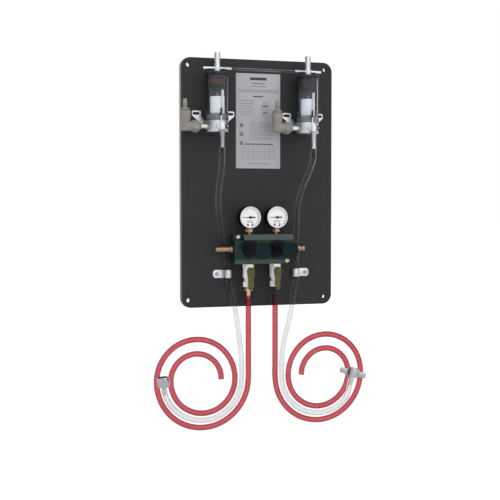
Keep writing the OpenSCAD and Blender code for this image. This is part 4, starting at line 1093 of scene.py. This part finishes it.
    def inlet(self) -> None:
        """Union nut and elbow of the drink inlet."""
        place = self.at(self.union_x, 0, self.port_z, Way.RIGHT)
        nut = Shape().hexagon(26, 15, place)
        nut.turn([(5.15, 14.9), (13, 14.9), (8.5, 21.5), (5.15, 21.5)], place, 0, 0.3,
                 hollow=True)
        self.piece(nut, "inlet_union_{}", [BEIGE_PLASTIC], "inlet_nut_{}", "beige")
        elbow = Shape().rod(12.2, 17, self.at(self.elbow_x, 0, self.port_z, Way.RIGHT))
        elbow.turn([(0, 124.5), (9.25, 124.5), (11.75, 127), (11.75, 150), (13.25, 150),
                    (14.05, 172.4), (9.3, 172.4), (9.3, 174.5), (11.6, 174.5), (11.6, 178.7),
                    *barbs(4.9, 5.9, 178.7, 3, 5), (4.9, 201), (3, 201), (3, 181), (0, 181)],
                   self.at(self.elbow_x), 0, 0.25, 48)
        self.piece(elbow, "inlet_elbow_body_{}", [BEIGE_PLASTIC], "inlet_elbow_{}", "beige")

    def build(self) -> None:
        """Builds the whole detector."""
        self.bracket()
        self.base()
        self.tube()
        self.cap()
        self.float_part()
        self.outlet()
        self.bleed()
        self.inlet()

    @staticmethod
    def shared() -> None:
        """Sealing rings, guide posts and side plugs, one piece of each for both chambers."""
        seals, plugs, guides = Shape(), Shape(), Shape()
        for side in Side:
            chamber = FloatChamber(side)
            x, z, turn = chamber.plug_x, chamber.port_z, math.radians(chamber.guide_turn)
            seals.turn([(20.85, 241.6), (23.6, 241.6), (23.95, 242.3), (23.95, 243.5),
                        (23.3, 244.3), (23.95, 245.1), (23.95, 246.3), (23.6, 247), (20.85, 247)],
                       chamber.at(), int(side is Side.RIGHT), 0.15, 96, hollow=True)
            plug = Shape().rod(6.2, 4, chamber.at(x, -24.5, z, Way.FRONT), ease=0.5)
            plug.work(Shape().prism(6, 4, chamber.at(x, -26.5, z, Way.FRONT), 0, 0), Cut.OUT)
            plugs.join(plug.mesh)
            plugs.rod(2.7, 1.2, chamber.at(x, -25.6, z, Way.FRONT), 1, 0.2, steps=24)
            guides.turn([(0, 159.1), (2, 159.1), (2, 165), (2.9, 165), (2.9, 222), (1.9, 223),
                         (0, 223)], chamber.at(chamber.guide_r * math.cos(turn),
                                               chamber.guide_r * math.sin(turn)), 0, 0.2, 32)
        seals.piece("cap_seal_rings", [RED_RUBBER, DARK_RUBBER], "cap_seals", "red_rubber")
        guides.piece("float_guide_posts", [FLOAT_PLASTIC], "float_guides", "white_plastic")
        plugs.piece("side_plug_heads", [BLACK_PLASTIC, DARKER_FITTING], "side_plugs",
                    "black_plastic")


@dataclass
class Regulator:
    """Regulator block with its ports."""

    half_w: float = 77.0
    low: float = -198.2
    top: float = -125.2
    port_y: float = -45.0

    def block(self) -> None:
        """Anodised block with screw pockets at two corners, on its foot."""
        section = [(31, self.low), (58, self.low), (-BLOCK_FRONT, self.low + 11),
                   (-BLOCK_FRONT, self.top - 14), (56, self.top), (31, self.top)]
        across = Matrix(((0, 0, -1, self.half_w), (-1, 0, 0, 0), (0, 1, 0, 0), (0, 0, 0, 1)))
        block = Shape().plate(section, 2 * self.half_w, across, 0, 0.9)
        # The two bevels' faces get the lighter green: a painted highlight.
        block.paint(1, lambda _, normal: normal.y < -0.6 and abs(normal.z) > 0.25)
        pockets = Shape()
        pockets.box((30, 20, 20), Way.UP.at(-67.5, -59.5, -130), 0, 0)
        pockets.box((30, 20, 20), Way.UP.at(67.5, -59.5, -193.4), 0, 0)
        block.work(pockets, Cut.OUT)
        block.box((138, 15.5, 67), Way.UP.at(0, -23.75, BLOCK_Z), 0, 0.5)
        block.piece("regulator_body", [BLOCK_GREEN, BEVEL_HIGHLIGHT_GREEN], "regulator_block",
                    "block_green")

    def ports(self) -> None:
        """Gas inlet barb on the left and the gallery's plug on the right."""
        profile = [(3.5, 0), (6, 0), (6, 10.5), (9.5, 10.5), (9.5, 15), (5.8, 15), (5.8, 19.5),
                   *barbs(5.8, 6.6, 19.5, 4, 6.5, 5 / 6.5), (5.8, 52.5), (3.5, 52.5)]
        barb = Shape().turn(profile, Way.LEFT.at(-68, self.port_y, BLOCK_Z), 0, 0.2, 48,
                            hollow=True)
        barb.piece("gas_inlet", [BRASS], "gas_inlet_barb", "brass")
        plug = Shape().hexagon(17, 9, Way.RIGHT.at(self.half_w, self.port_y, BLOCK_Z), 0, 0.9)
        plug.turn([(0, 0), (4.5, 0), (4.5, 7.2), (7, 7.2), (7, 15.6), (4.5, 15.6), (4.5, 17.8),
                   (7, 17.8), (7, 25.5), (0, 25.5)],
                  Way.RIGHT.at(self.half_w + 9, self.port_y, BLOCK_Z), 0, 0.5, 40)
        plug.piece("gallery_plug", [BRASS], "manifold_plug", "brass")

    def build(self) -> None:
        """Builds the block and what is screwed into its ends."""
        self.block()
        self.ports()


@dataclass
class PressureKnob(Station):
    """Bonnet and pressure knob of a station."""

    knob_y: float = -102.5
    button_y: float = -88.0
    flutes: int = 30

    def bonnet(self) -> None:
        """Moulded bonnet with a groove near its foot."""
        shape = Shape().turn([(0, 0), (22.75, 0), (22.75, 8), (21.95, 8), (21.95, 10),
                              (22.75, 10), (21.75, 38), (20.75, 39), (4.05, 39), (4.05, 29),
                              (0, 29)], Way.FRONT.at(self.x, BLOCK_FRONT, BLOCK_Z), 0, 0.4, 72)
        self.piece(shape, "bonnet_{}_shell", [BONNET_PLASTIC], "bonnet_{}", "black_plastic")

    def grip(self) -> None:
        """Fluted knob with its shaft and the button on the spring."""
        place = Way.FRONT.at(self.x, self.knob_y, BLOCK_Z)
        knob = Shape().turn([(0, -12), (4, -12), (4, 0), (20.7, 0), (20.7, 2.5), (21.5, 2.5),
                             (20.5, 45.8), (19.3, 47), (17, 47), (17, 46.2), (0, 46.2)], place,
                            0, 0.3, 90)
        grooves = Shape()
        for i in range(self.flutes):
            turn = Matrix.Rotation(FULL_TURN * i / self.flutes, 4, "Z")
            grooves.rod(1.1, 35, place @ turn @ Matrix.Translation((22, 0, 6)), 0, 0, steps=12)
        knob.work(grooves, Cut.OUT)
        knob.paint_core(1, place, 45.5, 20)
        knob.box((1.6, 6, 0.8), place @ Matrix.Translation((0, 12, 46.4)), 1, 0.2)
        knob.rod(12.5, 2.5, Way.FRONT.at(self.x, self.button_y, BLOCK_Z), 0, 0.2)
        self.piece(knob, "knob_{}_grip", [BONNET_PLASTIC, KNOB_FACE], "pressure_knob_{}", "knob",
                   "knob_{}")

    def build(self) -> None:
        """Builds the bonnet and its knob."""
        self.bonnet()
        self.grip()


@dataclass
class Gauge(Station):
    """Pressure gauge: case with dial and bezel, pointer, window and stem."""

    mid_z: float = -83.8
    back_y: float = -33.0
    dial_y: float = -56.0
    print_y: float = -56.14
    pointer_y: float = -57.4
    window_y: float = -58.7
    stem_y: float = -50.0
    zero: int = 240
    tick_r: float = 20.6
    figure_r: float = 15.0

    def number(self, shape: Shape, text: str, x: float, z: float, size: float,
               finish: int, bold: float = 0) -> None:
        """Adds flat text to the dial, centred on x and z and bolder by a given width."""
        data = bpy.data.curves.new("figures", "FONT")
        data.body = text
        data.size = size
        data.align_x = "CENTER"
        data.align_y = "CENTER"
        data.extrude = 0.04
        data.offset = bold
        data.resolution_u = 3
        holder = put("figures", data)
        bpy.context.view_layer.update()
        mesh = bpy.data.meshes.new_from_object(
            holder.evaluated_get(bpy.context.evaluated_depsgraph_get()))
        shell = bmesh.new()
        shell.from_mesh(mesh)
        bpy.data.objects.remove(holder)
        bpy.data.curves.remove(data)
        bpy.data.meshes.remove(mesh)
        shape.take(shell, Way.FRONT.at(x, self.dial_y - 0.17, z), finish, 0)

    def case(self) -> None:
        """Black case with a white bezel and a white dial with plain figures."""
        place = Way.FRONT.at(self.x, self.back_y, self.mid_z)
        shape = Shape().turn([(0, 0), (24.5, 0), (26.5, 2), (26.5, 25.5), (24.22, 25.5),
                              (22.5, 25.5), (22.5, 22.9), (0, 22.9)], place, 0, 0.4, 96)
        shape.turn([(22.5, 25.5), (26.5, 25.5), (26.5, 27), (25.5, 28), (24.25, 28),
                    (24.25, 25.75), (22.5, 25.75)], place, 1, 0.25, 96, hollow=True)
        shape.rod(22.45, 0.15, Way.FRONT.at(self.x, self.dial_y + 0.05, self.mid_z), 1, 0,
                  steps=96)
        for i in range(51):
            angle = math.radians(self.zero - 6 * i)
            length, width = (1.7, 0.28) if i % 10 else (3.2, 0.6)
            out = self.tick_r - length / 2
            place = Way.FRONT.at(self.x + out * math.cos(angle), self.print_y,
                                 self.mid_z + out * math.sin(angle), math.degrees(angle))
            shape.box((length, width, 0.08), place, 4, 0)
        for i in range(1, 5):
            angle = math.radians(self.zero - 60 * i)
            self.number(shape, str(i), self.x + self.figure_r * math.cos(angle),
                        self.mid_z + self.figure_r * math.sin(angle), 4.2, 4)
        for figure, x in (("0", -5.8), ("5", 5.8)):
            self.number(shape, figure, self.x + x, self.mid_z - 18.4, 7.4, 2, 0.6)
        for width, low in ((19, 8.8), (15, 11.6)):
            shape.box((width, 1.4, 0.08), Way.FRONT.at(self.x, self.print_y, self.mid_z - low),
                      3, 0)
        self.piece(shape, "gauge_{}_case", [GAUGE_BLACK, DIAL_WHITE, DIAL_BLACK, DIAL_GREY,
                                            DIAL_PALE], "gauge_case_{}", "gauge")

    def pointer(self) -> None:
        """Pointer with its long thin end to the left."""
        place = Way.FRONT.at(self.x, self.pointer_y, self.mid_z)
        shape = Shape().plate([(-19.5, -0.35), (0, -0.95), (0, 0.95), (-19.5, 0.35)], 0.8, place,
                              0, 0.1)
        shape.plate([(0, -1.7), (12.5, -1.7), (12.5, 1.7), (0, 1.7)], 0.8, place, 0, 0.15)
        shape.turn([(0, -1.1), (1.2, -1.1), (1.2, 0), (3.6, 0), (3.6, 0.6), (2.4, 0.8), (0, 0.8)],
                   place, 0, 0.1, 32)
        self.piece(shape, "gauge_{}_pointer", [DIAL_BLACK], "gauge_needle_{}", "needle",
                   "needle_{}")

    def window(self) -> None:
        """Clear window with a faint dome."""
        shape = Shape().turn([(0, 0), (24.2, 0), (24.2, 1.2), (18, 1.5), (0, 1.6)],
                             Way.FRONT.at(self.x, self.window_y, self.mid_z), 0, 0.15, 72)
        self.piece(shape, "gauge_{}_window", [GAUGE_GLASS], "gauge_lens_{}", "lens")

    def stem(self) -> None:
        """Brass stem with its wrench hexagon."""
        shape = Shape().hexagon(18, 8, Way.UP.at(self.x, self.stem_y, -120), 0, 1.0)
        shape.rod(5.5, 9.5, Way.UP.at(self.x, self.stem_y, -112.2))
        shape.rod(3.4, 14, Way.UP.at(self.x, self.stem_y, -134))
        self.piece(shape, "gauge_{}_stem", [BRASS], "gauge_stem_{}", "brass")

    def build(self) -> None:
        """Builds the gauge."""
        self.case()
        self.pointer()
        self.window()
        self.stem()


@dataclass
class ShutoffValve(Station):
    """Shut-off valve under a station: plated body, sleeved lever and brass barb."""

    ball_z: float = -216.0
    sleeve_y: float = -59.3

    def body(self) -> None:
        """Plated body between its two hexagons."""
        shape = Shape().hexagon(26, 8.3, Way.UP.at(self.x, VALVE_Y, -207), 0, 1.4)
        # The hexagon's front facets get the whiter plating: a painted highlight.
        shape.paint(1, lambda _, normal: normal.y < -0.9)
        shape.turn([(0, -242.3), (10.3, -242.3), (10.3, -232.7), (13.5, -232.7), (13.5, -206.8),
                    (0, -206.8)], Way.UP.at(self.x, VALVE_Y, 0), 0, 0.6, 64)
        shape.hexagon(24, 13, Way.UP.at(self.x, VALVE_Y, -255), 0, 1.4)
        shape.rod(7, 16, Way.FRONT.at(self.x, VALVE_Y, self.ball_z), 0, 0.4)
        self.piece(shape, "valve_{}_body", [NEW_PLATE, HIGHLIGHT_PLATE], "shutoff_body_{}",
                   "chrome")

    def lever(self) -> None:
        """Lever in its dipped sleeve, on the ball's steel stem."""
        x, y, z = self.x, self.sleeve_y, self.ball_z
        lever = Shape().rod(10.3, 5, Way.FRONT.at(x, y, z), 1, 1.6, steps=56)
        edge = [(9.8, z - 3), (9.4, z - 7), (8, z - 15), (6.4, z - 28), (6, z - 40.5),
                (4.3, z - 44.8)]
        handle = [(-a, b) for a, b in edge] + [(0, z - 46.5)] + edge[::-1]
        lever.plate(handle, 5, Way.FRONT.at(x, y, 0), 1, 1.8)
        lever.rod(4.2, 0.9, Way.FRONT.at(x, -64.1, z), 1, 0.4, steps=32)
        lever.rod(3.5, 10, Way.FRONT.at(x, -52, z), 0, 0)
        self.piece(lever, "valve_{}_lever", [BRIGHT_FITTING, OLIVE_SLEEVE], "shutoff_lever_{}",
                   "olive", "valve_{}")

    def barb(self) -> None:
        """Brass barb that the gas hose is pushed onto."""
        shape = Shape().turn([(3, -247), (3, -300), (3.9, -300), *[
            (r, -h) for r, h in reversed(barbs(4.65, 5.45, 280, 3, 7, 6 / 7))],
            (4.65, -278), (5.2, -276), (5.2, -263.9), (10.8, -263.9), (10.8, -258.6), (6, -258.6),
            (6, -247)], Way.UP.at(self.x, VALVE_Y, 0), 0, 0.2, 48, hollow=True)
        # The right barb's near-black brass is painted shadow; the left barb's lighter brass above
        # the hose is painted light.
        finishes = [BRASS_PAINTED_SHADOW]
        if self.side is Side.LEFT:
            # Below the hose's edge the left barb gets the darker, redder brass: painted shade.
            shape.paint(1, lambda middle, _: middle.z < -279)
            finishes = [BRASS_PAINTED_LIGHT, BRASS_PAINTED_SHADE]
        self.piece(shape, "valve_{}_barb", finishes, "shutoff_barb_{}", "brass")

    def build(self) -> None:
        """Builds the valve."""
        self.body()
        self.lever()
        self.barb()


@dataclass
class WingNut(Sided):
    """Wing nut that swivels on the end of a drain hose."""

    wing_reach: float = 34.0
    wing_root: float = 13.5

    def place(self) -> Matrix:
        """Place of the nut's foot, in line with the hose's end."""
        turn = 78 if self.side is Side.LEFT else -15
        return (Matrix.Translation(NUT_END[self.side])
                @ Matrix.Rotation(math.radians(NUT_LEAN[self.side]), 4, "Y")
                @ Matrix.Translation((0, 0, 1.5)) @ Matrix.Rotation(math.radians(turn), 4, "Z"))

    def build(self) -> bpy.types.Object:
        """Builds the nut.

        Returns:
            The nut's object.
        """
        place = self.place()
        shape = Shape().turn([(5.05, 0), (14, 0), (15, 1), (15, 23), (14, 24), (11.2, 24),
                              (11.2, 3), (5.05, 3)], place, 0, 0.5, 64, hollow=True)
        # The nut's inside gets the dark thread finish: painted shade.
        shape.paint_core(1, place, 2.5, 11.6)
        upright = place @ Matrix.Translation((0, 2, 4)) @ Matrix.Rotation(HALF_TURN / 2, 4, "X")
        root, reach = self.wing_root, self.wing_reach
        for s in (-1, 1):
            wing = [(s * root, 0), (s * (reach - 1.5), 0), (s * reach, 1.5), (s * reach, 12.5),
                    (s * (reach - 1.5), 14), (s * root, 14)]
            shape.plate(wing, 4, upright, 0, 0.8)
        return self.piece(shape, "wing_nut_{}_cast", [CHROME, CHROME_THREAD_SHADE], "wing_nut_{}",
                          "chrome", "nut_{}")


def dress(frame: dict[str, Any], finish: Finish, *nodes: str) -> None:
    """Gives a finish to nodes of the frame whose shape stays as it is."""
    for node in nodes:
        carried = frame["nodes"][node]
        carried.data.materials.clear()
        carried.data.materials.append(finish.material())


def main() -> None:
    """Builds the object piece by piece round its frame."""
    logging.basicConfig(level=logging.INFO, format="%(name)s: %(message)s")
    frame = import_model()
    Studio().build()
    nuts = {side: WingNut(side).build() for side in Side}
    hoses = Hoses()
    for side in Side:
        hoses.gas(side)
        hoses.drain(side, nuts[side])
    hoses.link()
    Board().build()
    for side in Side:
        FloatChamber(side).build()
    FloatChamber.shared()
    Regulator().build()
    for side in Side:
        PressureKnob(side).build()
    for side in Side:
        Gauge(side).build()
        ShutoffValve(side).build()
        dress(frame, SPRING_STEEL, f"spring_{side.word}")
        dress(frame, CHROME, f"shutoff_ball_{side.word}")
    dress(frame, BLACK_RUBBER, "diaphragms")
    dress(frame, BRIGHT_FITTING, "hose_tails")


if __name__ == "__main__":
    main()
